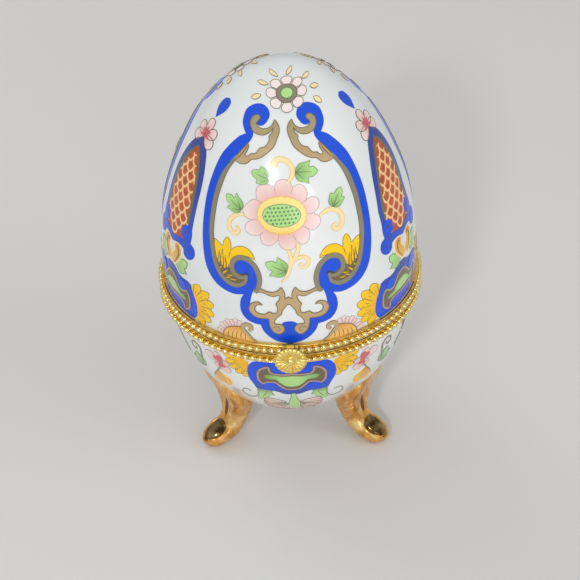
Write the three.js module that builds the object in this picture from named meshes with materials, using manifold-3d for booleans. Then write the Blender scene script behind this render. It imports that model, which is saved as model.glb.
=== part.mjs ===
// Porcelain egg trinket box on three scrolled feet, with a hinged lid, beaded brass bands and a
// rosette clasp. Millimetres, +Z up, standing on z = 0, with the clasp at -Y and the hinge at +Y.

import * as THREE from 'three';
import { mergeVertices } from 'three/addons/utils/BufferGeometryUtils.js';
import Module from 'manifold-3d';

// Porcelain egg
const partingHeight = 53.6; // standing surface to the line where lid and bowl meet
const eggRadius = 36.9; // outside, at the widest level
const waistRise = 8.9; // parting line up to the widest level
const crownHeight = 60; // widest level up to the top of the lid
const bowlDrop = 52.3; // widest level down to the underside of the bowl
const crownTaper = 0.054; // share by which the crown narrows towards its tip
const bowlFullness = 0.2; // share by which the bowl swells towards its bottom
const wallThickness = 3.2;

// Clearances
const partingGap = 0.3; // between the two bands when the lid is shut
const fitGap = 0.3; // between a piece and the curved piece it seats on
const runningGap = 0.2; // round the pins

// Brass bands over the two rims
const bandHeight = 3.3; // parting line to the top of the lip
const bandWall = 0.75;
const flangeThickness = 0.8; // ledge over the end of the porcelain
const lipHeight = 0.45; // rounded edge against the porcelain
const collarWall = 0.8; // ring inside the bowl's rim that centres the lid
const collarDepth = 3; // parting line down to its lower edge
const collarStand = 1.8; // parting line up to its upper edge

// Beaded wire round each band
const beadCount = 114; // beads that a whole ring would have
const beadHeight = 1.7;
const beadProud = 0.83; // how far a bead stands out from its seat
const beadRise = 1.82; // parting line to the middle of the bead row
const beadNeck = 0.5; // size between two beads, as a share of the bead

// Hinge at the back
const hingeBarrelRadius = 1.4;
const hingeBarrelGap = 0.8; // between the bands and the barrel
const hingePinRadius = 0.6;
const hingeLeafReach = 2.9; // parting line to the far edge of a leaf
const lidKnuckleLength = 4.4;
const bowlKnuckleLength = 4.2;

// Clasp at the front
const claspPinProud = 0.9; // how far the clasp pin's middle stands out from the lugs' seat
const claspPivotRise = 4; // parting line up to the clasp pin
const claspKnuckleRadius = 1;
const claspKnuckleLength = 2;
const claspPinRadius = 0.35;
const lugRadius = 0.8;
const lugThickness = 0.8;
const lugFootRise = 0.6; // parting line to the lower end of a lug
const tongueThickness = 0.6;
const tongueWidth = 4.4;
const tongueTop = 1.8; // clasp pin down to the shoulder of the wide part
const tongueLength = 7.6; // clasp pin down to the lower end
const studRadius = 0.9;
const studBite = 0.45; // how far the stud's dome enters the tongue
const flowerRadius = 4.5;
const flowerDrop = 4; // clasp pin down to the middle of the flower
const flowerEdge = 0.35;
const flowerCrest = 0.95;
const flowerHub = 0.6;
const petalCount = 20;
const petalScallop = 0.3; // depth of the notch between two petals
const buttonRadius = 1.25;
const buttonHeight = 0.85;

// Feet
const footAngles = { front_left: -55, front_right: 55, rear: 180 }; // degrees from the front
const legRise = 29; // standing surface to the tip of the leaf on the bowl
const ankleInset = 14.9; // from below the egg's widest line in to the middle of the ankle
const toeInset = 3.3; // from below the egg's widest line in to the toe's last section
const legWidth = 17.6; // across the leaf where it is widest
const legThickness = 8.4;
const creaseDepth = 0.3; // groove down the face of the leg, as a share of the leg's depth
const creaseEnd = 0.6; // where the groove runs out, as a share of the leg's path
const footSquareness = 0.8; // 1 makes an oval section, and less squares it
const toePadSetback = 4.4; // toe's last section back to the middle of the oval pad on it
const toePadRise = 4.4;
const toePadLength = 9.4;
const toePadWidth = 6.6;
const toePadHeight = 3.8;
const toePadTilt = 25; // degrees

// The leg's path from the leaf on the bowl to the tip of the toe, with the section there, all as
// shares: out from the ankle's reach to the toe's, up of the leg's rise, and the rest of its sizes
const footStations = [
  { out: 0.64, up: 1, width: 0.44, thickness: 0.28 },
  { out: 0.37, up: 0.81, width: 1, thickness: 0.68 },
  { out: 0.09, up: 0.614, width: 0.98, thickness: 0.94 },
  { out: 0, up: 0.431, width: 0.74, thickness: 1 },
  { out: 0.08, up: 0.27, width: 0.57, thickness: 0.9 },
  { out: 0.33, up: 0.145, width: 0.5, thickness: 0.8 },
  { out: 0.65, up: 0.088, width: 0.46, thickness: 0.72 },
  { out: 0.87, up: 0.075, width: 0.38, thickness: 0.6 },
  { out: 1, up: 0.07, width: 0.21, thickness: 0.34 },
];

// Facets
const roundSteps = 48;
const beadSteps = 3; // stations along one bead
const beadFacets = 3; // facets across its rounded front
const footSteps = 16;
const footSides = 12;
const pinSteps = 12;

// Sizes that follow from the ones above
const waistHeight = partingHeight + waistRise;
const lidHalf = { up: 1, reach: crownHeight, swell: -crownTaper };
const bowlHalf = { up: -1, reach: bowlDrop, swell: bowlFullness };
const rimRise = partingGap / 2 + flangeThickness + fitGap;
const bandInner = Math.max(
  eggRadiusAt(lidHalf, partingHeight + bandHeight, 0),
  eggRadiusAt(bowlHalf, partingHeight - rimRise, 0),
) + fitGap;
const bandOuter = bandInner + bandWall;
const collarOuter = eggRadiusAt(bowlHalf, partingHeight - collarDepth, wallThickness) - fitGap;
const flangeInner = collarOuter + fitGap;
const beadSeat = bandOuter + fitGap;
const hingePivotRadius = bandOuter + hingeBarrelGap + hingeBarrelRadius;
const claspPivotRadius = beadSeat + claspPinProud;
const hingeHalfLength = lidKnuckleLength / 2 + fitGap + bowlKnuckleLength;
const lugInside = claspKnuckleLength / 2 + fitGap;
const lugOutside = lugInside + lugThickness;
const tongueBack = claspPivotRadius + claspKnuckleRadius - tongueThickness;
const ankleReach = eggRadius - ankleInset;
const toeReach = eggRadius - toeInset;

const wasm = await Module();
wasm.setup();

// Materials
const materials = {
  porcelain: new THREE.MeshStandardMaterial({ color: 0xf1efee, roughness: 0.12, metalness: 0 }),
  gilding: new THREE.MeshStandardMaterial({ color: 0xc98d4c, roughness: 0.34, metalness: 1 }),
  brass: new THREE.MeshStandardMaterial({ color: 0xe6c04c, roughness: 0.24, metalness: 1 }),
};

// Surface of one half of the egg at an angle from its waist, a given inset in from the outside
function eggPoint(half, angle, inset) {
  const swell = 1 + half.swell * Math.sin(angle) ** 2;
  const radius = (eggRadius - inset) * Math.cos(angle) * swell;
  const height = waistHeight + half.up * (half.reach - inset) * Math.sin(angle);
  return new THREE.Vector2(Math.max(radius, 0), height);
}

function eggAngleAt(half, height, inset) {
  return Math.asin((half.up * (height - waistHeight)) / (half.reach - inset));
}

function eggRadiusAt(half, height, inset) {
  return eggPoint(half, eggAngleAt(half, height, inset), inset).x;
}

// Points on one wall of a half, from a height to the pole
function eggLine(half, fromHeight, inset, steps) {
  const start = eggAngleAt(half, fromHeight, inset);
  const points = [];
  for (let i = 0; i < steps; i += 1) {
    points.push(eggPoint(half, start + ((Math.PI / 2 - start) * i) / steps, inset));
  }
  points.push(new THREE.Vector2(0, waistHeight + half.up * (half.reach - inset)));
  return points;
}

// Merges shared corners, drops slivers at the poles and turns the faces outwards
function closedGeometry(geometry) {
  const bare = new THREE.BufferGeometry();
  bare.setAttribute('position', geometry.getAttribute('position'));
  bare.setIndex(geometry.index);
  const merged = mergeVertices(bare, 1e-4);
  const corners = merged.index.array;
  const position = merged.getAttribute('position');
  const [a, b, c] = [new THREE.Vector3(), new THREE.Vector3(), new THREE.Vector3()];
  const kept = [];
  let volume = 0;
  for (let i = 0; i < corners.length; i += 3) {
    const [p, q, r] = corners.slice(i, i + 3);
    if (p === q || q === r || r === p) continue;
    kept.push(p, q, r);
    a.fromBufferAttribute(position, p);
    b.fromBufferAttribute(position, q);
    c.fromBufferAttribute(position, r);
    volume += a.dot(b.cross(c));
  }
  merged.setIndex(volume < 0 ? kept.reverse() : kept);
  merged.computeVertexNormals();
  return merged;
}

// A profile of radius and height, turned round the egg's axis
function turned(profile, steps = roundSteps) {
  const geometry = new THREE.LatheGeometry(profile, steps);
  geometry.rotateX(Math.PI / 2);
  return closedGeometry(geometry);
}

// Rings of points joined into one closed skin, with a cap fanned from the middle of each end ring
function lofted(rings) {
  const sides = rings[0].length;
  const corners = rings.flat();
  const faces = [];
  for (let ring = 0; ring + 1 < rings.length; ring += 1) {
    for (let side = 0; side < sides; side += 1) {
      const a = ring * sides + side;
      const b = ring * sides + ((side + 1) % sides);
      faces.push(a, b, b + sides, a, b + sides, a + sides);
    }
  }
  for (const ring of [0, rings.length - 1]) {
    const middle = new THREE.Vector3();
    rings[ring].forEach((point) => middle.addScaledVector(point, 1 / sides));
    for (let side = 0; side < sides; side += 1) {
      const a = ring * sides + side;
      const b = ring * sides + ((side + 1) % sides);
      faces.push(corners.length, ...(ring === 0 ? [b, a] : [a, b]));
    }
    corners.push(middle);
  }
  const geometry = new THREE.BufferGeometry().setFromPoints(corners);
  geometry.setIndex(faces);
  return closedGeometry(geometry);
}

// A flat outline given a thickness along one axis: the outline's x and y run along two others
function plate(shape, thickness, outlineX, outlineY, curveSegments = 8) {
  const geometry = new THREE.ExtrudeGeometry(shape, {
    depth: thickness,
    bevelEnabled: false,
    curveSegments,
  });
  geometry.translate(0, 0, -thickness / 2);
  const across = new THREE.Vector3().crossVectors(outlineX, outlineY);
  geometry.applyMatrix4(new THREE.Matrix4().makeBasis(outlineX, outlineY, across));
  return closedGeometry(geometry);
}

function solidOf(geometry) {
  return new wasm.Manifold(new wasm.Mesh({
    numProp: 3,
    vertProperties: new Float32Array(geometry.getAttribute('position').array),
    triVerts: new Uint32Array(geometry.index.array),
  }));
}

function geometryOf(solid) {
  const mesh = solid.getMesh();
  const geometry = new THREE.BufferGeometry();
  geometry.setAttribute('position', new THREE.Float32BufferAttribute(mesh.vertProperties, 3));
  geometry.setIndex(Array.from(mesh.triVerts));
  return closedGeometry(geometry);
}

function piece(name, geometry, material) {
  const mesh = new THREE.Mesh(geometry, materials[material].clone());
  mesh.name = name;
  return mesh;
}

const right = new THREE.Vector3(1, 0, 0);
const up = new THREE.Vector3(0, 0, 1);
const forward = new THREE.Vector3(0, -1, 0);
const backward = new THREE.Vector3(0, 1, 0);

// Hollow half of the egg, open at its rim
function shell(half, outerSteps, innerSteps) {
  const rim = partingHeight + half.up * rimRise;
  const outside = eggLine(half, rim, 0, outerSteps).reverse();
  const inside = eggLine(half, rim, wallThickness, innerSteps);
  return turned([...outside, ...inside]);
}

// Band with a ledge over the porcelain's end, a plain strip and a rounded lip
function band(half) {
  const at = (radius, rise) => new THREE.Vector2(radius, partingHeight + half.up * rise);
  const low = partingGap / 2;
  return turned([
    at(flangeInner, low),
    at(bandOuter, low),
    at(bandOuter, bandHeight - lipHeight),
    at(bandOuter - bandWall * 0.2, bandHeight - lipHeight * 0.25),
    at(bandOuter - bandWall * 0.6, bandHeight),
    at(bandInner, bandHeight - lipHeight * 0.4),
    at(bandInner, low + flangeThickness),
    at(flangeInner, low + flangeThickness),
    at(flangeInner, low),
  ]);
}

function collar() {
  const inner = collarOuter - collarWall;
  const [low, high] = [partingHeight - collarDepth, partingHeight + collarStand];
  return turned([
    new THREE.Vector2(inner, low),
    new THREE.Vector2(collarOuter, low),
    new THREE.Vector2(collarOuter, high - collarWall / 2),
    new THREE.Vector2(collarOuter - collarWall / 2, high),
    new THREE.Vector2(inner, high - collarWall / 4),
    new THREE.Vector2(inner, low),
  ]);
}

// Half-round wire swelling into beads, between two angles from the front
function beadedWire(half, fromAngle, toAngle) {
  const beads = Math.round((beadCount * (toAngle - fromAngle)) / (2 * Math.PI));
  const middle = partingHeight + half.up * beadRise;
  const rings = [];
  for (let step = 0; step <= beads * beadSteps; step += 1) {
    const angle = fromAngle + ((toAngle - fromAngle) * step) / (beads * beadSteps);
    const size = step % beadSteps === 0 ? beadNeck : 1;
    const ring = [];
    for (let corner = 0; corner <= beadFacets; corner += 1) {
      const turn = (corner / beadFacets - 0.5) * Math.PI;
      const radius = beadSeat + beadProud * size * Math.cos(turn);
      const height = middle + (beadHeight / 2) * size * Math.sin(turn);
      ring.push(new THREE.Vector3(radius * Math.sin(angle), -radius * Math.cos(angle), height));
    }
    rings.push(ring);
  }
  return lofted(rings);
}

function beadPair(half, bodyName, frontHalfWidth) {
  const start = Math.asin((frontHalfWidth + fitGap) / beadSeat);
  const end = Math.PI - Math.asin((hingeHalfLength + fitGap) / beadSeat);
  return [
    piece(`${bodyName}_beads_left`, beadedWire(half, -end, -start), 'brass'),
    piece(`${bodyName}_beads_right`, beadedWire(half, start, end), 'brass'),
  ];
}

// Points round part of a circle, both ends included
function arc(x, y, radius, fromAngle, toAngle, steps) {
  const points = [];
  for (let i = 0; i <= steps; i += 1) {
    const angle = fromAngle + ((toAngle - fromAngle) * i) / steps;
    points.push(new THREE.Vector2(x + radius * Math.cos(angle), y + radius * Math.sin(angle)));
  }
  return points;
}

function withBore(shape, x, y, radius) {
  shape.holes.push(new THREE.Path().absarc(x, y, radius, 0, 2 * Math.PI));
  return shape;
}

// Knuckle and leaf in side view, drawn backwards and upwards from the hinge pin. The leaf's foot
// is trimmed to the round of the band.
function hingeKnuckle(half, length, middle) {
  const foot = bandInner - hingePivotRadius;
  const near = partingGap / 2 + fitGap;
  const outline = [
    new THREE.Vector2(foot, near),
    ...arc(
      0,
      0,
      hingeBarrelRadius,
      Math.PI - Math.asin(near / hingeBarrelRadius),
      Math.PI * 2.3,
      14,
    ),
    new THREE.Vector2(foot * 0.55, hingeLeafReach),
    new THREE.Vector2(foot, hingeLeafReach),
  ];
  outline.forEach((point) => point.setY(point.y * half.up));
  const shape = withBore(new THREE.Shape(outline), 0, 0, hingePinRadius + runningGap);
  const knuckle = plate(shape, length, backward, up);
  knuckle.translate(middle, hingePivotRadius, 0);
  const bandBody = turned([
    new THREE.Vector2(0, -bandHeight),
    new THREE.Vector2(beadSeat, -bandHeight),
    new THREE.Vector2(beadSeat, bandHeight),
    new THREE.Vector2(0, bandHeight),
  ]);
  const trimmed = solidOf(knuckle).subtract(solidOf(bandBody));
  return geometryOf(trimmed).translate(0, 0, partingHeight);
}

// Pin along X with its ends eased
function pin(radius, length) {
  const [end, ease] = [length / 2, radius * 0.3];
  const profile = [
    new THREE.Vector2(0, -end),
    new THREE.Vector2(radius - ease, -end),
    new THREE.Vector2(radius, ease - end),
    new THREE.Vector2(radius, end - ease),
    new THREE.Vector2(radius - ease, end),
    new THREE.Vector2(0, end),
  ];
  return turned(profile, pinSteps).rotateY(Math.PI / 2);
}

// Ear beside the clasp's knuckle, drawn forwards and upwards from the clasp pin
function lug() {
  const foot = beadSeat - claspPivotRadius;
  const outline = [
    new THREE.Vector2(foot, lugFootRise - claspPivotRise),
    ...arc(0, 0, lugRadius, -Math.PI * 0.13, Math.PI * 1.1, 10),
    new THREE.Vector2(foot, bandHeight - claspPivotRise),
  ];
  const shape = withBore(new THREE.Shape(outline), 0, 0, claspPinRadius + runningGap);
  return plate(shape, lugThickness, forward, up);
}

// Knuckle, neck and wide end of the hasp, relative to the clasp pin
function tongue() {
  const [back, front] = [claspKnuckleRadius - tongueThickness, claspKnuckleRadius];
  const neckEnd = -tongueTop - tongueThickness;
  const neckOutline = [
    ...arc(0, 0, front, 0, Math.PI * 2 - Math.acos(back / front), 12),
    new THREE.Vector2(back, neckEnd),
    new THREE.Vector2(front, neckEnd),
  ];
  const neckShape = withBore(new THREE.Shape(neckOutline), 0, 0, claspPinRadius + runningGap);
  const neck = plate(neckShape, claspKnuckleLength, forward, up);
  const half = tongueWidth / 2;
  const endShape = new THREE.Shape([
    new THREE.Vector2(half, -tongueTop),
    new THREE.Vector2(-half, -tongueTop),
    ...arc(0, half - tongueLength, half, Math.PI, Math.PI * 2, 10),
  ]);
  withBore(endShape, 0, -claspPivotRise - beadRise, studRadius + fitGap);
  const end = plate(endShape, tongueThickness, right, up);
  end.translate(0, -(back + front) / 2, 0);
  return geometryOf(solidOf(neck).add(solidOf(end)));
}

// Domed stud or button standing on a flat base, facing forwards
function dome(radius, height, neck) {
  const profile = [new THREE.Vector2(0, 0), new THREE.Vector2(radius, 0)];
  for (let step = 0; step <= 4; step += 1) {
    const turn = (step * Math.PI) / 8;
    const rise = neck + (height - neck) * Math.sin(turn);
    profile.push(new THREE.Vector2(step === 4 ? 0 : radius * Math.cos(turn), rise));
  }
  return turned(profile, pinSteps).rotateX(Math.PI / 2);
}

// Rosette of radial flutes with notched edges and a flat hub, its back on the tongue
function flower() {
  const hubRadius = buttonRadius + petalScallop / 2;
  const rows = [
    { radius: flowerRadius, height: 0, notch: 1, flute: 0 },
    { radius: flowerRadius, height: flowerEdge, notch: 1, flute: 0.3 },
    { radius: flowerRadius * 0.94, height: flowerCrest * 0.75, notch: 0.8, flute: 0.45 },
    { radius: flowerRadius * 0.68, height: flowerCrest, notch: 0, flute: 0.35 },
    { radius: hubRadius + flowerEdge, height: flowerHub + flowerEdge * 0.6, notch: 0, flute: 0.2 },
    { radius: hubRadius, height: flowerHub, notch: 0, flute: 0 },
  ];
  return lofted(rows.map((row) => {
    const ring = [];
    for (let step = 0; step < petalCount * 2; step += 1) {
      const angle = (step * Math.PI) / petalCount;
      const valley = step % 2;
      const radius = row.radius - valley * row.notch * petalScallop;
      const height = row.height * (1 - valley * row.flute);
      ring.push(new THREE.Vector3(radius * Math.sin(angle), -height, radius * Math.cos(angle)));
    }
    return ring;
  }));
}

// Solid of the whole bowl, grown by the seating gap, that trims the feet to its underside
function bowlSeat() {
  return solidOf(turned([
    new THREE.Vector2(0, partingHeight),
    ...eggLine(bowlHalf, partingHeight, -fitGap, 16),
  ]));
}

// A sine or cosine drawn out towards the corners of its square
function squared(value) {
  return Math.sign(value) * Math.abs(value) ** footSquareness;
}

// Cabriole foot drawn in its own upright plane, with +X outwards
function foot() {
  const path = new THREE.CatmullRomCurve3(footStations.map((station) => {
    const out = THREE.MathUtils.lerp(ankleReach, toeReach, station.out);
    return new THREE.Vector3(out, 0, station.up * legRise);
  }));
  const sizes = new THREE.CatmullRomCurve3(footStations.map((station) => (
    new THREE.Vector3(station.width * legWidth, station.thickness * legThickness, 0).divideScalar(2)
  )));
  const rings = [];
  for (let step = 0; step <= footSteps; step += 1) {
    const along = step / footSteps;
    const middle = path.getPoint(along);
    const tangent = path.getTangent(along);
    const outwards = new THREE.Vector3(-tangent.z, 0, tangent.x);
    const size = sizes.getPoint(along);
    const groove = creaseDepth * Math.sin(Math.PI * Math.min(along / creaseEnd, 1));
    const ring = [];
    for (let side = 0; side < footSides; side += 1) {
      const turn = (side * 2 * Math.PI) / footSides;
      const onFace = Math.max(Math.sin(turn), 0) ** 6;
      const depth = size.y * squared(Math.sin(turn)) * (1 - groove * onFace);
      ring.push(middle.clone().addScaledVector(outwards, depth));
      ring[side].y += size.x * squared(Math.cos(turn));
    }
    rings.push(ring);
  }
  const pad = new THREE.SphereGeometry(1, footSides, 7);
  pad.scale(toePadLength / 2, toePadWidth / 2, toePadHeight / 2);
  pad.rotateY(THREE.MathUtils.degToRad(toePadTilt));
  pad.translate(toeReach - toePadSetback, 0, toePadRise);
  const below = new THREE.BoxGeometry(2 * partingHeight, 2 * partingHeight, partingHeight);
  below.translate(0, 0, -partingHeight / 2);
  return geometryOf(
    solidOf(lofted(rings))
      .add(solidOf(closedGeometry(pad)))
      .subtract(solidOf(closedGeometry(below)))
      .subtract(bowlSeat()),
  );
}

function bowl() {
  const group = new THREE.Group();
  group.add(
    piece('bowl_shell', shell(bowlHalf, 10, 7), 'porcelain'),
    piece('bowl_bezel', band(bowlHalf), 'brass'),
    piece('locating_collar', collar(), 'brass'),
    ...beadPair(bowlHalf, 'bowl', studRadius),
  );
  const footGeometry = foot();
  for (const [place, angle] of Object.entries(footAngles)) {
    const leg = piece(`foot_${place}`, footGeometry.clone(), 'gilding');
    leg.rotation.z = THREE.MathUtils.degToRad(angle - 90);
    group.add(leg);
  }
  const offset = lidKnuckleLength / 2 + fitGap + bowlKnuckleLength / 2;
  for (const [side, sign] of [['left', -1], ['right', 1]]) {
    const knuckle = hingeKnuckle(bowlHalf, bowlKnuckleLength, sign * offset);
    group.add(piece(`hinge_knuckle_bowl_${side}`, knuckle, 'brass'));
  }
  const hingePin = piece('hinge_pin', pin(hingePinRadius, 2 * hingeHalfLength + fitGap), 'brass');
  hingePin.position.set(0, hingePivotRadius, partingHeight);
  const studHeight = tongueBack + studBite - beadSeat;
  const stud = piece('catch_stud', dome(studRadius, studHeight, studHeight - studBite), 'brass');
  stud.position.set(0, -beadSeat, partingHeight - beadRise);
  group.add(hingePin, stud);
  return group;
}

function lid() {
  const group = new THREE.Group();
  group.add(
    piece('lid_shell', shell(lidHalf, 12, 8), 'porcelain'),
    piece('lid_bezel', band(lidHalf), 'brass'),
    ...beadPair(lidHalf, 'lid', lugOutside),
    piece('hinge_knuckle_lid', hingeKnuckle(lidHalf, lidKnuckleLength, 0), 'brass'),
  );
  const ears = new THREE.Group();
  ears.position.set(0, -claspPivotRadius, partingHeight + claspPivotRise);
  for (const [side, sign] of [['left', -1], ['right', 1]]) {
    const ear = piece(`clasp_lug_${side}`, lug(), 'brass');
    ear.position.x = sign * (lugInside + lugThickness / 2);
    ears.add(ear);
  }
  ears.add(piece('clasp_pin', pin(claspPinRadius, 2 * lugOutside), 'brass'));
  group.add(ears);
  return group;
}

function clasp() {
  const group = new THREE.Group();
  group.position.set(0, -claspPivotRadius, partingHeight + claspPivotRise);
  const rosette = piece('clasp_flower', flower(), 'brass');
  rosette.position.set(0, -claspKnuckleRadius, -flowerDrop);
  const button = piece('clasp_button', dome(buttonRadius, buttonHeight, 0.1), 'brass');
  button.position.set(0, -claspKnuckleRadius - flowerHub, -flowerDrop);
  group.add(piece('clasp_tongue', tongue(), 'brass'), rosette, button);
  return group;
}

const trinketBox = new THREE.Group();
trinketBox.add(bowl(), lid(), clasp());
export default trinketBox;
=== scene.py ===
# Looks of the egg trinket box: porcelain, brass, gilded feet and painted enamel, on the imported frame.
# Metres in the scene. The values in the dictionaries are millimetres and degrees unless a note says so.

from bisect import bisect_right
from math import asin, copysign, cos, dist, hypot, pi, radians, sin, sqrt, tan

import bmesh
import bpy
from mathutils import Matrix, Vector
from mathutils.geometry import delaunay_2d_cdt


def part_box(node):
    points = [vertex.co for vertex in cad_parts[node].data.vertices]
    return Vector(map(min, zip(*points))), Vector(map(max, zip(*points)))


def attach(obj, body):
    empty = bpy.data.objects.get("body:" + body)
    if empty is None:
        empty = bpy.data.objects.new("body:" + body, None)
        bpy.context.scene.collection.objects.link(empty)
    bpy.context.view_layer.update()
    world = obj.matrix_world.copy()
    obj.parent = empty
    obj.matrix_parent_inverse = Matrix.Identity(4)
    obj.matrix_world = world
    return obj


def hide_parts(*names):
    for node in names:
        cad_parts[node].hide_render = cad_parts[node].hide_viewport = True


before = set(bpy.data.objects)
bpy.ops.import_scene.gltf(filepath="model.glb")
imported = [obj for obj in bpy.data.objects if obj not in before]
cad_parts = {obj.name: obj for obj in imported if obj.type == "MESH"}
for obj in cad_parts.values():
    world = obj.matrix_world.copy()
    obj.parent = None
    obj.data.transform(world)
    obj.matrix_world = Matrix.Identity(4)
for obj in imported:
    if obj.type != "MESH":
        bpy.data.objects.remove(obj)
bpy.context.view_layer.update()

mm = 0.001


# The egg's own form, as in the solids

egg = {
    "parting": 53.6,
    "radius": 36.9,
    "waistRise": 8.9,
    "crown": 60.0,
    "drop": 52.3,
    "crownTaper": 0.054,  # share of the radius
    "bowlFullness": 0.2,  # share of the radius
    "wall": 3.2,
}
waist = egg["parting"] + egg["waistRise"]
halves = {
    "lid": {"up": 1, "reach": egg["crown"], "swell": -egg["crownTaper"]},
    "bowl": {"up": -1, "reach": egg["drop"], "swell": egg["bowlFullness"]},
}


def clamp(value, high=1.0):
    return min(max(value, 0.0), high)


def roundAxis(radius, angle, height):
    # a place by its distance from the egg's axis, its turn from the front and its height
    return Vector((radius * sin(angle), -radius * cos(angle), height)) * mm


def eggPoint(half, angle, inset=0.0):
    form = halves[half]
    swell = 1 + form["swell"] * sin(angle) ** 2
    radius = (egg["radius"] - inset) * cos(angle) * swell
    height = waist + form["up"] * (form["reach"] - inset) * sin(angle)
    return max(radius, 0.0), height


def eggAngleAt(half, height, inset=0.0):
    form = halves[half]
    return asin(form["up"] * (height - waist) / (form["reach"] - inset))


def eggRadiusAt(half, height, inset=0.0):
    return eggPoint(half, eggAngleAt(half, height, inset), inset)[0]


def arcTable(half, steps=900):
    # radius and height of the surface against the distance along it from the parting line
    start = eggAngleAt(half, egg["parting"])
    rows, along, last = [], 0.0, None
    for i in range(steps + 1):
        point = eggPoint(half, start + (pi / 2 - start) * i / steps)
        if last:
            along += dist(point, last)
        rows.append((along, *point))
        last = point
    return rows


arcTables = {half: arcTable(half) for half in halves}
leastRadius = 0.3  # keeps a motif near the top from winding round the pole


def onEgg(half, across, along, lift, azimuth):
    # across: along the parallel from the motif's own meridian; along: up or down from the parting line
    rows = arcTables[half]
    high = min(max(bisect_right(rows, along, key=lambda row: row[0]), 1), len(rows) - 1)
    (before, r1, z1), (after, r2, z2) = rows[high - 1], rows[high]
    share = clamp((along - before) / (after - before))
    radius, height = r1 + (r2 - r1) * share, z1 + (z2 - z1) * share
    run = dist((r1, z1), (r2, z2))
    outR, outZ = abs(z2 - z1) / run, (r1 - r2) / run * halves[half]["up"]
    angle = azimuth + across / max(radius, leastRadius)
    return roundAxis(radius + outR * lift, angle, height + outZ * lift)


def build(name, corners, faces, sharpAngle, weld=True):
    mesh = bpy.data.meshes.new(name)
    mesh.from_pydata([tuple(c) for c in corners], [], faces)
    work = bmesh.new()
    work.from_mesh(mesh)
    if weld:
        bmesh.ops.remove_doubles(work, verts=work.verts, dist=1e-7)
    bmesh.ops.recalc_face_normals(work, faces=work.faces)
    work.to_mesh(mesh)
    work.free()
    mesh.polygons.foreach_set("use_smooth", [True] * len(mesh.polygons))
    mesh.set_sharp_from_angle(angle=radians(sharpAngle))
    return mesh


def addObject(name, data):
    thing = bpy.data.objects.new(name, data)
    bpy.context.scene.collection.objects.link(thing)
    return thing


def addPiece(name, mesh, body, materials=(), stands=()):
    piece = addObject(name, mesh)
    for material in materials:
        mesh.materials.append(material)
    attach(piece, body)
    if stands:
        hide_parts(*stands)


def gridFaces(rows, sides, base=0, closed=False, capped=True):
    # faces between rings of points, which lead back to the first ring or end in two caps
    faces = []
    for i in range(rows if closed else rows - 1):
        here, there = base + i * sides, base + (i + 1) % rows * sides
        for j in range(sides):
            k = (j + 1) % sides
            faces.append((here + j, here + k, there + k, there + j))
    if capped and not closed:
        faces += [tuple(base + i * sides + j for j in range(sides)) for i in (0, rows - 1)]
    return faces


def turned(name, profile, segments, sharpAngle):
    # a closed profile of (radius, height), turned round the egg's axis
    corners = [roundAxis(radius, 2 * pi * i / segments, height)
               for i in range(segments) for radius, height in profile]
    return build(name, corners, gridFaces(segments, len(profile), closed=True), sharpAngle)


def smoothLine(points, step=0.5, closed=False):
    # a Catmull-Rom line through points of any number of values, the first two being its place
    count = len(points)
    line = []
    for i in range(count if closed else count - 1):
        p1, p2 = points[i], points[(i + 1) % count]
        p0 = points[(i - 1) % count] if closed or i > 0 else tuple(2 * a - b for a, b in zip(p1, p2))
        goesOn = closed or i < count - 2
        p3 = points[(i + 2) % count] if goesOn else tuple(2 * b - a for a, b in zip(p1, p2))
        cuts = max(1, round(dist(p1[:2], p2[:2]) / step))
        for j in range(cuts):
            t = j / cuts
            line.append(tuple(
                0.5 * (2 * b + (c - a) * t + (2 * a - 5 * b + 4 * c - d) * t * t
                       + (3 * b - a - 3 * c + d) * t ** 3)
                for a, b, c, d in zip(p0, p1, p2, p3)
            ))
    if not closed:
        line.append(tuple(points[-1]))
    return line


# Shader groups: each puts out a mask and a height

def tint(code):
    # a colour written as on screen, turned into the shader's linear values
    parts = [int(code[i : i + 2], 16) / 255 for i in (0, 2, 4)]
    linear = [p / 12.92 if p <= 0.04045 else ((p + 0.055) / 1.055) ** 2.4 for p in parts]
    return (*linear, 1.0)


def newGroup(name, inputs):
    group = bpy.data.node_groups.new(name, "ShaderNodeTree")
    for label, value in inputs.items():
        kind = "NodeSocketVector" if isinstance(value, tuple) else "NodeSocketFloat"
        group.interface.new_socket(label, in_out="INPUT", socket_type=kind).default_value = value
    for label in ("Mask", "Height"):
        group.interface.new_socket(label, in_out="OUTPUT", socket_type="NodeSocketFloat")
    return group, group.nodes.new("NodeGroupInput").outputs, group.nodes.new("NodeGroupOutput").inputs


def addNode(tree, kind, links=(), **values):
    node = tree.nodes.new(kind)
    for label, value in values.items():
        setattr(node, label, value)
    for socket, source in links:
        if isinstance(source, bpy.types.NodeSocket):
            tree.links.new(source, node.inputs[socket])
        else:
            node.inputs[socket].default_value = source
    return node


def addNoise(tree, vector, scale, detail):
    return addNode(tree, "ShaderNodeTexNoise", [
        ("Vector", vector), ("Scale", scale), ("Detail", detail)]).outputs["Fac"]


def makeMottle():
    # soft blotches on the object's own place
    group, start, end = newGroup(
        "mottle", {"Scale": 400.0, "Detail": 3.0, "Low": 0.4, "High": 0.65, "Stretch": (1.0, 1.0, 1.0)})
    place = addNode(group, "ShaderNodeTexCoord").outputs["Object"]
    stretch = addNode(group, "ShaderNodeVectorMath", [
        (0, place), (1, start["Stretch"])], operation="MULTIPLY")
    noise = addNoise(group, stretch.outputs[0], start["Scale"], start["Detail"])
    mask = addNode(group, "ShaderNodeMapRange", [
        ("Value", noise), ("From Min", start["Low"]), ("From Max", start["High"])])
    group.links.new(mask.outputs["Result"], end["Mask"])
    group.links.new(noise, end["Height"])
    return group


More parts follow.
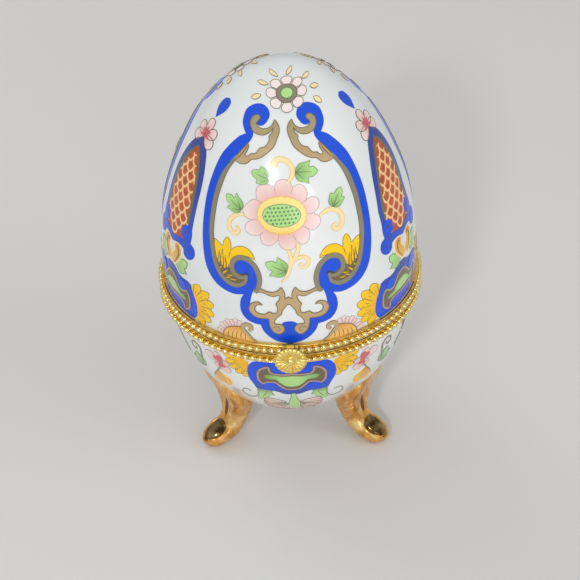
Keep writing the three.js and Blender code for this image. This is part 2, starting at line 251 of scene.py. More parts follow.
def makeToneMask():
    # how far a brush mark has gone over to its second colour
    group, start, end = newGroup("toneMask", {"Scale": 900.0, "Unevenness": 0.35})
    tone = addNode(group, "ShaderNodeAttribute", attribute_name="tone").outputs["Fac"]
    place = addNode(group, "ShaderNodeTexCoord").outputs["Object"]
    noise = addNoise(group, place, start["Scale"], 3.0)
    centred = addNode(group, "ShaderNodeMath", [(0, noise), (1, 0.5)], operation="SUBTRACT")
    uneven = addNode(
        group, "ShaderNodeMath", [(0, centred.outputs[0]), (1, start["Unevenness"]), (2, tone)],
        operation="MULTIPLY_ADD", use_clamp=True)
    group.links.new(uneven.outputs[0], end["Mask"])
    group.links.new(noise, end["Height"])
    return group


mottle = makeMottle()
toneMask = makeToneMask()


def useGroup(tree, group, **values):
    return addNode(tree, "ShaderNodeGroup", values.items(), node_tree=group).outputs


def newMaterial(name, **values):
    material = bpy.data.materials.new(name)
    material.use_nodes = True
    shader = material.node_tree.nodes["Principled BSDF"]
    for label, value in values.items():
        shader.inputs[label.replace("_", " ")].default_value = value
    return material, material.node_tree, shader


def feed(tree, shader, **sources):
    for label, source in sources.items():
        tree.links.new(source, shader.inputs[label.replace("_", " ")])


def mixed(tree, factor, first, second):
    # colours are sockets, or written as on screen
    first, second = (tint(colour) if isinstance(colour, str) else colour for colour in (first, second))
    return addNode(tree, "ShaderNodeMix", [
        ("Factor", factor), (6, first), (7, second)], data_type="RGBA").outputs[2]


def ranged(tree, value, low, high, **limits):
    return addNode(tree, "ShaderNodeMapRange", [
        ("Value", value), ("To Min", low), ("To Max", high), *limits.items()]).outputs["Result"]


def bumped(tree, height, strength, distance):
    return addNode(tree, "ShaderNodeBump", [
        ("Height", height), ("Strength", strength), ("Distance", distance)]).outputs["Normal"]


porcelainLook = {"glaze": "eceeed", "cast": "dfe6e6", "roughness": 0.16, "coatRoughness": 0.03}


def makePorcelain():
    look = porcelainLook
    material, tree, shader = newMaterial(
        "glazedPorcelain", Coat_Weight=1.0, Coat_Roughness=look["coatRoughness"], Coat_IOR=1.5,
        Roughness=look["roughness"])
    wash = useGroup(tree, mottle, Scale=28.0, Detail=2.0, Low=0.35, High=0.7)
    pits = useGroup(tree, mottle, Scale=900.0, Detail=2.0)
    feed(tree, shader, Base_Color=mixed(tree, wash["Mask"], look["glaze"], look["cast"]),
         Normal=bumped(tree, pits["Height"], 0.05, 0.00002))
    return material


# the beads, lips and rosette get paler gold than the fittings and bands: a painted highlight for the light
# these rounded parts catch
brassLook = {
    "fittings": {"gold": "f0c660", "shade": "b08632", "roughness": 0.15},
    "bands": {"gold": "e8c053", "shade": "b98f3a", "roughness": 0.24},
    "lips": {"gold": "f0cc78", "shade": "cda252", "roughness": 0.18},
    "beads": {"gold": "ffeeb0", "shade": "f6d377", "roughness": 0.18},
    "rosette": {"gold": "ffe68c", "shade": "f3c65e", "roughness": 0.2},
}
brassDulling = 0.15  # added to the roughness in the darker patches


def makeBrass(use):
    # gilt brass with darker patches at random
    look = brassLook[use]
    material, tree, shader = newMaterial(use + "Brass", Metallic=1.0)
    patches = useGroup(tree, mottle, Scale=420.0, Detail=4.0, Low=0.42, High=0.72)["Mask"]
    grain = useGroup(tree, mottle, Scale=2600.0, Detail=3.0)["Height"]
    feed(tree, shader, Base_Color=mixed(tree, patches, look["gold"], look["shade"]),
         Roughness=ranged(tree, patches, look["roughness"], look["roughness"] + brassDulling),
         Normal=bumped(tree, grain, 0.12, 0.00003))
    return material


gildingLook = {"gold": "f2b863", "deep": "cd8d44", "pale": "ffdf98", "roughness": 0.25, "dull": 0.38}


def makeGilding():
    # brushed-on gold over porcelain, streaked down the leg and rubbed paler in random patches
    look = gildingLook
    material, tree, shader = newMaterial("giltPorcelain", Metallic=0.75, Coat_Weight=0.2, Coat_Roughness=0.15)
    streaks = useGroup(tree, mottle, Scale=700.0, Detail=4.0, Low=0.38, High=0.68, Stretch=(1.0, 1.0, 0.22))
    rubbed = useGroup(tree, mottle, Scale=260.0, Detail=5.0, Low=0.52, High=0.7)
    brushed = mixed(tree, streaks["Mask"], look["gold"], look["deep"])
    feed(tree, shader, Base_Color=mixed(tree, rubbed["Mask"], brushed, look["pale"]),
         Roughness=ranged(tree, streaks["Mask"], look["roughness"], look["dull"]),
         Normal=bumped(tree, streaks["Height"], 0.12, 0.00004))
    return material


# the toe pads' dark olive gold is a painted reflection of dark surroundings on polished gold
padReflectionLook = {"gold": "b59a68", "deep": "4a3820", "roughness": 0.17}
# the crease colours are painted shade, laid in the leg's groove
creaseShadeLook = {"shadeBrown": "744317", "slit": "3c200a", "roughness": 0.45}


def makePadGildingAndReflection():
    # the burnished oval on each toe; its gold is darkened in clouds, a painted reflection of dark
    # surroundings
    material, tree, shader = newMaterial("burnishedToeAndReflection", Metallic=1.0, Roughness=padReflectionLook["roughness"])
    cloud = useGroup(tree, mottle, Scale=300.0, Detail=3.0, Low=0.3, High=0.62)
    feed(tree, shader, Base_Color=mixed(tree, cloud["Mask"], padReflectionLook["gold"], padReflectionLook["deep"]),
         Normal=bumped(tree, cloud["Height"], 0.1, 0.00005))
    return material


def makeCreaseShade():
    # the tool mark down the front of each leg, coloured dark brown as painted shade in its groove
    material, tree, shader = newMaterial("legCreaseShade", Roughness=creaseShadeLook["roughness"])
    cloud = useGroup(tree, mottle, Scale=900.0, Detail=2.0)
    feed(tree, shader, Base_Color=mixed(tree, cloud["Mask"], creaseShadeLook["shadeBrown"], creaseShadeLook["slit"]))
    return material


porcelain = makePorcelain()
brasses = {use: makeBrass(use) for use in brassLook}
gilding = makeGilding()
padGildingAndReflection = makePadGildingAndReflection()
creaseShade = makeCreaseShade()
print("materials ready")


# Geometry Nodes: copies turned round an axis

def makeRingOfCopies():
    tree = bpy.data.node_groups.new("ringOfCopies", "GeometryNodeTree")
    for label, kind in (
        ("Geometry", "Geometry"), ("Count", "Int"), ("First Angle", "Float"), ("Step", "Float"),
        ("Centre", "Vector"), ("Axis", "Vector"), ("Material", "Material"),
    ):
        tree.interface.new_socket(label, in_out="INPUT", socket_type="NodeSocket" + kind)
    tree.interface.new_socket("Geometry", in_out="OUTPUT", socket_type="NodeSocketGeometry")
    start = tree.nodes.new("NodeGroupInput").outputs
    end = tree.nodes.new("NodeGroupOutput").inputs
    points = addNode(tree, "GeometryNodePoints", [("Count", start["Count"])])
    index = addNode(tree, "GeometryNodeInputIndex")
    angle = addNode(tree, "ShaderNodeMath", [
        (0, index.outputs[0]), (1, start["Step"]), (2, start["First Angle"])], operation="MULTIPLY_ADD")
    turn = addNode(tree, "FunctionNodeAxisAngleToRotation", [
        ("Axis", start["Axis"]), ("Angle", angle.outputs[0])])
    back = addNode(tree, "ShaderNodeVectorMath", [(0, start["Centre"]), ("Scale", -1.0)], operation="SCALE")
    centred = addNode(tree, "GeometryNodeTransform", [
        ("Geometry", start["Geometry"]), ("Translation", back.outputs[0])])
    copies = addNode(tree, "GeometryNodeInstanceOnPoints", [
        ("Points", points.outputs[0]), ("Instance", centred.outputs[0]), ("Rotation", turn.outputs[0])])
    real = addNode(tree, "GeometryNodeRealizeInstances", [("Geometry", copies.outputs[0])])
    placed = addNode(tree, "GeometryNodeTransform", [
        ("Geometry", real.outputs[0]), ("Translation", start["Centre"])])
    finished = addNode(tree, "GeometryNodeSetMaterial", [
        ("Geometry", placed.outputs[0]), ("Material", start["Material"])])
    tree.links.new(finished.outputs[0], end[0])
    return tree


ringOfCopies = makeRingOfCopies()
upwards = (0.0, 0.0, 1.0)


def ringOf(name, mesh, material, count, step, first=0.0, centre=(0.0, 0.0, 0.0), axis=upwards):
    # the copies as a plain mesh; inputs are set before the first evaluation, angles in radians
    values = {"Count": count, "First Angle": first, "Step": step, "Centre": centre, "Axis": axis,
              "Material": material}
    carrier = addObject(name + "Carrier", mesh)
    modifier = carrier.modifiers.new("nodes", "NODES")
    modifier.node_group = ringOfCopies
    for item in ringOfCopies.interface.items_tree:
        if item.item_type == "SOCKET" and item.in_out == "INPUT" and item.name in values:
            modifier[item.identifier] = values[item.name]
    carrier.update_tag()
    graph = bpy.context.evaluated_depsgraph_get()
    result = bpy.data.meshes.new_from_object(carrier.evaluated_get(graph))
    result.name = name
    carrier.modifiers.remove(modifier)
    bpy.data.objects.remove(carrier)
    return result


# Porcelain

shell = {"segments": 180, "rows": 90, "rimRise": 1.25, "sharpAngle": 50}


def makeShell(half):
    up, rows, segments = halves[half]["up"], shell["rows"], shell["segments"]
    walls = []
    for inset in (0.0, egg["wall"]):
        start = eggAngleAt(half, egg["parting"] + up * shell["rimRise"], inset)
        walls.append([eggPoint(half, start + (pi / 2 - start) * i / rows, inset) for i in range(rows)])
        walls[-1].append((0.0, waist + up * (halves[half]["reach"] - inset)))
    profile = walls[0][::-1] + walls[1]
    last = len(profile) - 1
    corners = [roundAxis(radius, 2 * pi * i / segments, height)
               for radius, height in profile[1:last] for i in range(segments)]
    faces = gridFaces(last - 1, segments, capped=False)
    for pole, base in ((profile[0], 0), (profile[last], (last - 2) * segments)):
        corners.append(Vector((0, 0, pole[1])) * mm)
        faces += [(base + i, base + (i + 1) % segments, len(corners) - 1) for i in range(segments)]
    mesh = build(half + "Porcelain", corners, faces, shell["sharpAngle"])
    addPiece(half + "Porcelain", mesh, half, [porcelain], [half + "_shell"])


for half in halves:
    makeShell(half)
print("porcelain shells made")


# Brass bands and the collar

band = {
    "height": 3.3,
    "wall": 0.75,
    "flange": 0.8,
    "gap": 0.15,
    "fit": 0.3,
    "lip": 0.62,
    "lipProud": 0.34,
    "lipBack": 0.3,
    "lipSteps": 8,
    "fillet": 0.12,
    "bite": 0.02,  # how far the top edge reaches into the glaze
    "chamfer": (0.12, 0.1),
    "grooveDepth": 0.16,
    "lowGroove": (0.52, 0.6, 0.7, 0.78),  # above the parting line
    "highGroove": (0.22, 0.14, 0.0),  # under the lip
    "segments": 228,
    "sharpAngle": 38,
}
collar = {"wall": 0.8, "depth": 3.0, "stand": 1.8, "round": 0.36, "steps": 6, "segments": 180}
bandInner = max(
    eggRadiusAt("lid", egg["parting"] + band["height"]),
    eggRadiusAt("bowl", egg["parting"] - band["gap"] - band["flange"] - band["fit"]),
) + band["fit"]
bandOuter = bandInner + band["wall"]
beadSeat = bandOuter + band["fit"]
collarOuter = eggRadiusAt("bowl", egg["parting"] - collar["depth"], egg["wall"]) - band["fit"]


def makeBand(half):
    up = halves[half]["up"]
    top, outer, lip, ledge = band["height"], bandOuter, band["lip"], band["gap"] + band["flange"]
    deep = outer - band["grooveDepth"]
    throat = collarOuter + band["fit"]
    touch = eggRadiusAt(half, egg["parting"] + up * (top + band["fillet"])) - band["bite"]
    marks = [(throat, band["gap"]), (outer - band["chamfer"][0], band["gap"]),
             (outer, band["gap"] + band["chamfer"][1])]
    marks += list(zip((outer, deep, deep, outer), band["lowGroove"]))
    marks += [(radius, top - lip - drop) for radius, drop in zip((outer, deep, deep), band["highGroove"])]
    for step in range(band["lipSteps"] + 1):
        turn = radians(-70 + 200 * step / band["lipSteps"])
        marks.append((outer - band["lipBack"] + band["lipProud"] * cos(turn),
                      top - lip / 2 - 0.02 + lip / 2 * sin(turn)))
    marks += [
        (touch + 0.3, top - 0.1),
        (touch, top + band["fillet"]),
        (touch + 0.12, top - 0.5),
        (bandInner, top - 0.8),
        (bandInner, ledge),
        (throat, ledge),
    ]
    profile = [(radius, egg["parting"] + up * rise) for radius, rise in marks]
    mesh = turned(half + "Band", profile, band["segments"], band["sharpAngle"])
    addPiece(half + "Band", mesh, half, [brasses["bands"], brasses["lips"]], [half + "_bezel"])
    for face in mesh.polygons:
        rise = abs(face.center.z / mm - egg["parting"])
        face.material_index = 1 if rise > top - lip or rise < 0.5 else 0


def makeCollar():
    wall, low = collar["wall"], egg["parting"] - collar["depth"]
    profile = [(collarOuter - wall, low), (collarOuter, low)]
    for step in range(collar["steps"] + 1):
        turn = pi * step / collar["steps"]
        profile.append((
            collarOuter - wall / 2 + wall / 2 * cos(turn),
            egg["parting"] + collar["stand"] - collar["round"] * (1 - sin(turn)),
        ))
    mesh = turned("centringRing", profile, collar["segments"], band["sharpAngle"])
    addPiece("centringRing", mesh, "bowl", [brasses["fittings"]], ["locating_collar"])


for half in halves:
    makeBand(half)
makeCollar()
print("bands and collar made")


# Beaded wire

beads = {
    "count": 114,
    "rise": 1.82,
    "proud": 0.8,
    "half": 0.8,
    "neck": 0.2,  # share of the bead's thickness
    "ball": 0.44,  # share of the pitch
    "sides": 12,
    "stations": 9,
    "sharpAngle": 75,
    "frontClear": {"lid": 2.1, "bowl": 0.9},
    "hingeClear": 6.7,
}
beadPitch = 2 * pi / beads["count"]


def makeBead(half):
    # one swelling of the wire at the front of the egg, with half a neck on each side
    length, stations, sides = beadPitch * beadSeat, beads["stations"], beads["sides"]
    middle = Vector((0, -beadSeat, egg["parting"] + halves[half]["up"] * beads["rise"]))
    corners = []
    for i in range(stations):
        along = (i / (stations - 1) - 0.5) * length
        size = max(sqrt(max(1 - (along / (length * beads["ball"])) ** 2, 0.0)), beads["neck"])
        for j in range(sides):
            turn = 2 * pi * j / sides
            offset = (along, -beads["proud"] * size * cos(turn), beads["half"] * size * sin(turn))
            corners.append((middle + Vector(offset)) * mm)
    return build(half + "Bead", corners, gridFaces(stations, sides), beads["sharpAngle"])


for half, frontClear in beads["frontClear"].items():
    bead = makeBead(half)
    start = asin((frontClear + band["fit"]) / beadSeat)
    end = pi - asin((beads["hingeClear"] + band["fit"]) / beadSeat)
    count = round((end - start) / beadPitch)
    first = (start + end - (count - 1) * beadPitch) / 2
    for side, sign in (("left", -1), ("right", 1)):
        name = f"{half}Beads{side.capitalize()}"
        row = ringOf(name, bead, brasses["beads"], count, sign * beadPitch, sign * first)
        addPiece(name, row, half, (), [f"{half}_beads_{side}"])
print("beaded wires made")


# The clasp's fluted rosette and its button

rosette = {"flutes": 20, "groove": 0.26, "arch": 8, "overlap": 1.04, "back": 0.05, "sharpAngle": 55}
fluteMarks = (  # reach from the middle, rise, share of the full width
    (1.5, 0.5, 1.0), (2.0, 0.66, 1.0), (2.7, 0.84, 1.0), (3.4, 0.93, 1.0), (3.9, 0.88, 0.98),
    (4.25, 0.72, 0.85), (4.42, 0.55, 0.6), (4.5, 0.4, 0.25),
)
button = {
    "segments": 40,
    "sharpAngle": 60,
    "profile": (
        (0.0, 1.44), (0.5, 1.36), (0.9, 1.14), (1.15, 0.82), (1.22, 0.5), (1.42, 0.42), (1.62, 0.56),
        (1.85, 0.56), (2.05, 0.34), (4.1, 0.26), (4.2, 0.14), (4.1, 0.02), (0.0, 0.02),
    ),
}
flowerLow, flowerHigh = [Vector(corner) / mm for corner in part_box("clasp_flower")]
flowerAt = Vector(((flowerLow.x + flowerHigh.x) / 2, flowerHigh.y, (flowerLow.z + flowerHigh.z) / 2))


def makeRosette():
    # one convex flute that points up, then the ring of them round the button
    step = 2 * pi / rosette["flutes"]
    corners = []
    for reach, rise, share in fluteMarks:
        side = reach * tan(step / 2) * share * rosette["overlap"]
        ring = [(-side, rosette["back"]), (side, rosette["back"])]
        for i in range(rosette["arch"] + 1):
            turn = pi * i / rosette["arch"]
            ring.append((side * cos(turn), rise - rosette["groove"] * (1 - sin(turn))))
        corners += [(flowerAt + Vector((across, -lift, reach))) * mm for across, lift in ring]
    faces = gridFaces(len(fluteMarks), rosette["arch"] + 3)
    flute = build("claspFlute", corners, faces, rosette["sharpAngle"])
    flower = ringOf("claspRosette", flute, brasses["rosette"], rosette["flutes"], step,
                    centre=tuple(flowerAt * mm), axis=(0.0, 1.0, 0.0))
    addPiece("claspRosette", flower, "clasp", (), ["clasp_flower"])


def makeButton():
    mesh = turned("claspButton", button["profile"], button["segments"], button["sharpAngle"])
    mesh.transform(Matrix.Translation(flowerAt * mm) @ Matrix.Rotation(pi / 2, 4, "X"))
    addPiece("claspButton", mesh, "clasp", [brasses["rosette"]], ["clasp_button"])


makeRosette()
makeButton()
print("clasp rosette made")


# Feet: a leg that swells and turns out into a toe, with a burnished oval pad inside a rolled rim

foot = {
    "ankle": 22.0,
    "toe": 33.6,
    "rise": 29.0,
    "width": 16.6,
    "thickness": 8.2,
    "squareness": 0.8,
    "groove": 0.3,
    "grooveEnd": 0.6,  # share of the leg's length
    "sides": 44,
    "fineness": 0.7,
    "sink": 0.9,
    "hollow": (10.6, 52.0),  # heights between which the bowl's surface is behind the leg
    "pad": {
        "at": (29.7, 4.9), "long": 4.7, "wide": 2.85, "high": 1.5, "tilt": 27.0, "rings": 10, "around": 40,
    },
    "rim": {"tube": 0.42, "lift": -0.25, "grow": 0.5, "sides": 10},
    # where the dark sheet of painted shade lies in the leg's groove
    "creaseShade": {"from": 15.8, "to": 8.8, "width": 1.7, "root": -0.3, "lips": 0.02, "ridge": 0.05},
    "sharpAngle": 60,
}
# shares of the reach, rise, width and thickness, from the top of the leg to the toe
footStations = (
    (0.64, 1.0, 0.44, 0.28), (0.37, 0.81, 1.0, 0.68), (0.09, 0.614, 0.98, 0.94), (0.0, 0.431, 0.72, 0.98),
    (0.08, 0.27, 0.53, 0.84), (0.33, 0.145, 0.49, 0.74), (0.65, 0.088, 0.46, 0.62), (0.87, 0.075, 0.38, 0.53),
    (1.0, 0.07, 0.21, 0.36),
)


def footPlace(point, angle):
    # outwards, sideways and up from the egg's axis, kept out of the bowl's hollow and above the floor
    out, side, up = point
    up = max(up, 0.0)
    low, high = foot["hollow"]
    if up > low:
        nearest = eggRadiusAt("bowl", min(up, high)) - foot["sink"]
        reach = hypot(out, side)
        if reach < nearest:
            out, side = out * nearest / reach, side * nearest / reach
    return Vector((out * sin(angle) + side * cos(angle), -out * cos(angle) + side * sin(angle), up)) * mm


def padPoint(turn, grow, lift, shrink=1.0):
    # a place beside the pad's edge, in its own tilted plane
    pad = foot["pad"]
    tilt = radians(pad["tilt"])
    along = (pad["long"] * shrink + grow) * cos(turn)
    side = (pad["wide"] * shrink + grow) * sin(turn)
    out = pad["at"][0] + along * cos(tilt) + lift * sin(tilt)
    return out, side, pad["at"][1] - along * sin(tilt) + lift * cos(tilt)


def legAndCreaseShade():
    # rings of points down the leg, and five points across the tool mark for each ring that it crosses; these
    # make a dark sheet of painted shade in its groove
    track = smoothLine([
        (foot["ankle"] + (foot["toe"] - foot["ankle"]) * out, foot["rise"] * up,
         foot["width"] / 2 * wide, foot["thickness"] / 2 * thick)
        for out, up, wide, thick in footStations
    ], foot["fineness"])
    leg, slit, mark, power = [], [], foot["creaseShade"], foot["squareness"]
    for i, (out, up, halfWidth, halfDepth) in enumerate(track):
        before, after = track[max(i - 1, 0)], track[min(i + 1, len(track) - 1)]
        run = dist(before[:2], after[:2])
        normal = (-(after[1] - before[1]) / run, (after[0] - before[0]) / run)
        groove = foot["groove"] * sin(pi * min(i / len(track) / foot["grooveEnd"], 1.0))
        for j in range(foot["sides"]):
            turn = 2 * pi * j / foot["sides"]
            c, s = cos(turn), sin(turn)
            depth = halfDepth * copysign(abs(s) ** power, s) * (1 - groove * max(s, 0.0) ** 6)
            side = halfWidth * copysign(abs(c) ** power, c)
            leg.append((out + normal[0] * depth, side, up + normal[1] * depth))
        surface = halfDepth * (1 - groove)
        middle = (out + normal[0] * surface, up + normal[1] * surface)
        if mark["to"] < middle[1] < mark["from"]:
            share = (middle[1] - mark["to"]) / (mark["from"] - mark["to"])
            edge = mark["width"] / 2 * sin(pi * share) ** 0.7
            for side, lift in ((-edge, mark["root"]), (-edge, mark["lips"]), (0.0, mark["ridge"]),
                               (edge, mark["lips"]), (edge, mark["root"])):
                slit.append((middle[0] + normal[0] * lift, side, middle[1] + normal[1] * lift))
    return leg, slit


def makeFoot(name, angle, stands):
    leg, slit = legAndCreaseShade()
    pad, rim = foot["pad"], foot["rim"]
    rings, around, tube = pad["rings"], pad["around"], rim["sides"]
    dome, roll = [], []
    for i in range(rings):
        rise = pi / 2 * i / (rings - 0.4)
        lift, shrink = pad["high"] * sin(rise), cos(rise)
        dome += [padPoint(2 * pi * j / around, 0.0, lift, shrink) for j in range(around)]
    for i in range(around):
        for j in range(tube):
            turn = 2 * pi * j / tube
            grow, lift = rim["grow"] + rim["tube"] * cos(turn), rim["lift"] + rim["tube"] * sin(turn)
            roll.append(padPoint(2 * pi * i / around, grow, lift))
    corners, faces, kinds = [], [], []
    for points, sides, closed, kind in ((leg, foot["sides"], False, 0), (roll, tube, True, 0),
                                        (dome, around, False, 1), (slit, 5, False, 2)):
        shape = gridFaces(len(points) // sides, sides, len(corners), closed)
        corners += [footPlace(point, angle) for point in points]
        faces += shape
        kinds += [kind] * len(shape)
    mesh = build(name, corners, faces, foot["sharpAngle"], weld=False)
    addPiece(name, mesh, "bowl", [gilding, padGildingAndReflection, creaseShade], [stands])
    mesh.polygons.foreach_set("material_index", kinds)


for name, degrees, stands in (
    ("footFrontLeft", -55, "foot_front_left"),
    ("footFrontRight", 55, "foot_front_right"),
    ("footRear", 180, "foot_rear"),
):
    makeFoot(name, radians(degrees), stands)
print("feet made")


# Painted enamel: thin closed plates and threads of colour that lie on the glaze. Each motif is drawn on
# a flat chart: x runs along the parallel from the motif's own meridian, s up or down from the parting line.

enamel = {
    "sink": 0.03,
    "rise": 0.045,
    "step": 0.03,
    "stagger": 0.004,
    "staggerCycle": 7,
    "fineness": 0.45,
    "grid": 1.5,
    "gridRow": 0.87,  # share of the grid
    "gridClear": 0.45,  # share of the grid
    "dropFull": 74.0,
    "leanFrom": 36.0,
    "leanFull": 56.0,
    "sharpAngle": 35,
    "copies": {"lid": 1, "bowl": 3},
}
# points across a thread, as shares of its width, for threads that are narrower than the first value
threadMarks = ((0.9, (-0.5, 0.5)), (2.2, (-0.5, 0.0, 0.5)), (99.0, (-0.5, -0.17, 0.17, 0.5)))
brush = {"half": "lid", "azimuth": 0.0, "drop": 0.0, "lean": 0.0, "count": 0}
single, both = (1,), (1, -1)  # drawn once, or on both sides of the motif's meridian
painted = {}


def setBrush(half, degrees, drop=0.0, lean=0.0):
    brush.update(half=half, azimuth=radians(degrees), drop=drop, lean=radians(lean))


def takePaint(paint):
    return painted.setdefault((brush["half"], paint), {"corners": [], "faces": [], "tones": []})


def liftOf(level):
    # shapes of one level never share a plane, so nothing flickers where they cross
    brush["count"] += 1
    stagger = enamel["stagger"] * (brush["count"] % enamel["staggerCycle"])
    return enamel["rise"] + enamel["step"] * level + stagger


def layOn(x, s, lift, side):
    # a dropped piece keeps its foot and ends lower, a leaning one turns outwards at its top
    lean = brush["lean"] * clamp((s - enamel["leanFrom"]) / (enamel["leanFull"] - enamel["leanFrom"]))
    lowered = s - brush["drop"] * s / enamel["dropFull"]
    return onEgg(brush["half"], x * side, lowered, lift, brush["azimuth"] + lean)


def openRuns(first, *others):
    # smooth runs that meet in corners, each going on from the end of the one before
    runs = [first]
    for run in others:
        runs.append([runs[-1][-1], *run])
    return runs


def closedRuns(*runs):
    # the same, but the first run goes on from the end of the last
    return [[runs[i - 1][-1], *run] for i, run in enumerate(runs)]


def mirrored(runs):
    return [[(-x, *rest) for x, *rest in reversed(run)] for run in reversed(runs)]


def whole(runs):
    return runs + mirrored(runs)


def joinRuns(runs, step):
    return [point for run in runs for point in smoothLine(run, step)[:-1]]


def pairsOf(loop):
    return zip(loop, loop[1:] + loop[:1])


def isInside(outline, x, s):
    hit = False
    for (x1, s1), (x2, s2) in pairsOf(outline):
        if (s1 > s) != (s2 > s) and x < x1 + (s - s1) * (x2 - x1) / (s2 - s1):
            hit = not hit
    return hit


def gridInside(outline):
    # staggered points inside an outline and clear of its edge
    grid, (xs, ss) = enamel["grid"], zip(*outline)
    points, row, s = [], 0, min(ss) + grid / 2
    while s < max(ss):
        x = min(xs) + grid / 2 * (row % 2)
        while x < max(xs):
            if isInside(outline, x, s) and min(dist((x, s), p) for p in outline) > grid * enamel["gridClear"]:
                points.append((x, s))
            x += grid
        s += grid * enamel["gridRow"]
        row += 1
    return points


def fill(paint, level, runs, sides=both, tone=0.0):
    # a closed plate inside an outline; tone is a value or a function of the place
    outline = joinRuns(runs, enamel["fineness"])
    if sum(a[0] * b[1] - b[0] * a[1] for a, b in pairsOf(outline)) < 0:
        outline.reverse()
    points = [Vector(p) for p in outline + gridInside(outline)]
    spots, _, triangles, *_ = delaunay_2d_cdt(points, [], [list(range(len(outline)))], 1, 1e-5)
    uses = dict.fromkeys(edge for triangle in triangles for edge in pairsOf(triangle))
    rim = [(a, b) for a, b in uses if (b, a) not in uses]
    top, count, store = liftOf(level), len(spots), takePaint(paint)
    for side in sides:
        base = len(store["corners"])
        for lift in (top, -enamel["sink"]):
            for x, s in spots:
                store["corners"].append(layOn(x, s, lift, side))
                store["tones"].append(tone(x, s) if callable(tone) else tone)
        for a, b, c in triangles:
            store["faces"].append((base + a, base + b, base + c))
            store["faces"].append((base + count + c, base + count + b, base + count + a))
        for a, b in rim:
            store["faces"].append((base + b, base + a, base + count + a, base + count + b))


def line(paint, level, points, sides=both, closed=False, tone=0.0, step=enamel["fineness"]):
    # a closed thread along points of (x, s, width)
    track = smoothLine(points, step, closed)
    widest = max(p[2] for p in points)
    shares = next(shares for limit, shares in threadMarks if widest < limit)
    top, count, store = liftOf(level), len(track), takePaint(paint)
    marks = [(shares[0], -enamel["sink"]), *((share, top) for share in shares), (shares[-1], -enamel["sink"])]
    for side in sides:
        base = len(store["corners"])
        for i, (x, s, width) in enumerate(track):
            before = track[(i - 1) % count] if closed or i > 0 else track[i]
            after = track[(i + 1) % count] if closed or i < count - 1 else track[i]
            run = dist(before[:2], after[:2]) or 1.0
            nx, ns = -(after[1] - before[1]) / run, (after[0] - before[0]) / run
            for share, lift in marks:
                store["corners"].append(layOn(x + nx * width * share, s + ns * width * share, lift, side))
                store["tones"].append(tone)
        store["faces"] += gridFaces(count, len(marks), base, closed)


def ribbon(paint, level, points, edge, edgePaint="umber", sides=both):
    # a strap with a darker thread of colour along both edges
    line(edgePaint, level, [(x, s, width + edge) for x, s, width in points], sides)
    line(paint, level + 1, points, sides)


def edging(paint, level, runs, width, sides, tone=0.0, step=enamel["fineness"]):
    # a thread along the outline itself
    line(paint, level, [(x, s, width) for x, s in joinRuns(runs, step)[::2]], sides, closed=True, tone=tone)


def outlined(paint, level, runs, thread, threadPaint, tone=0.0, sides=both):
    fill(paint, level, runs, sides, tone)
    edging(threadPaint, level + 1, runs, thread, sides)


def placed(points, centre, degrees, scale=1.0):
    # local points, first value along the angle, second across it, put on the chart
    c, s = cos(radians(degrees)), sin(radians(degrees))
    return [(centre[0] + scale * (u * c - v * s), centre[1] + scale * (u * s + v * c), *rest)
            for u, v, *rest in points]


def stroke(paint, level, points, centre, degrees, sides=both):
    line(paint, level, placed(points, centre, degrees), sides)


# shares of the length and of the width along one side of a petal, and of an ivy leaf with its pointed lobes
petalSide = ((0.0, 0.12), (0.35, 0.4), (0.7, 0.5))
petalShoulder = (0.07, 0.3)
ivySide = openRuns(
    [(0.0, 0.0), (0.02, 0.2), (0.16, 0.37), (0.34, 0.42)],
    [(0.46, 0.43), (0.62, 0.5)],
    [(0.58, 0.34), (0.6, 0.2)],
    [(0.74, 0.23), (0.88, 0.14), (1.0, 0.0)],
)


def petalRuns(centre, degrees, inner, outer, width, point=0.0):
    # a rounded petal, or with point a flame-shaped one
    length, (back, full) = outer - inner, petalShoulder
    side = [(inner + length * along, across * width) for along, across in petalSide]
    side += [(outer - length * back, (full - 0.2 * point) * width), (outer, 0.0)]
    other = [(u, -v) for u, v in reversed(side)]
    sweeps = [side, other] if point > 0 else [side + other[1:]]
    return [placed(run, centre, degrees) for run in (*sweeps, [other[-1], side[0]])]


def leafRuns(centre, degrees, length):
    other = [[(u, -v) for u, v in reversed(run)] for run in reversed(ivySide)]
    return [placed(run, centre, degrees, length) for run in ivySide + other]


def leafAt(x, s, degrees, length):
    # an ivy leaf with its three veins
    tone = fade((x, s), length * 0.75, 0.0)
    outlined("leaf", 3, leafRuns((x, s), degrees, length), 0.13, "moss", tone, single)
    for turn, share in ((0, 0.72), (38, 0.5), (-38, 0.5)):
        vein = [(0.1, 0.0, 0.26), (share * length * 0.5, 0.1, 0.18), (share * length, 0.0, 0.05)]
        stroke("moss", 5, vein, (x, s), degrees + turn, single)


def discRuns(centre, across, along=None, cuts=12):
    along = along or across
    turns = [2 * pi * i / cuts for i in range(cuts + 1)]
    return [[(centre[0] + across * cos(turn), centre[1] + along * sin(turn)) for turn in turns]]


def frillRuns(centre, across, along, waves, depth):
    # a disc with a wavy edge
    points = []
    for i in range(2 * waves + 1):
        turn, wave = pi * i / waves, depth * (-1) ** i
        points.append((centre[0] + (across + wave) * cos(turn), centre[1] + (along + wave) * sin(turn)))
    return [points]


def curlPoints(centre, radius, start, turns, width, tightness=0.15, steps=14):
    # from the outside of the curl towards its eye, start in radians
    points = []
    for i in range(steps + 1):
        share = i / steps
        turn = start + turns * 2 * pi * share
        reach = radius * (1 - (1 - tightness) * share)
        thick = width * (1 - 0.45 * share)
        points.append((centre[0] + reach * cos(turn), centre[1] + reach * sin(turn), thick))
    return points


def fade(centre, near, far):
    # a tone by the distance from a place
    return lambda x, s: clamp((dist((x, s), centre) - near) / (far - near))


def rising(low, high, most=1.0):
    # a tone by the place along the meridian
    return lambda x, s: clamp((s - low) / (high - low), most)


# The lid's great cartouche: a frame with volutes and straps round a flower and its sprays

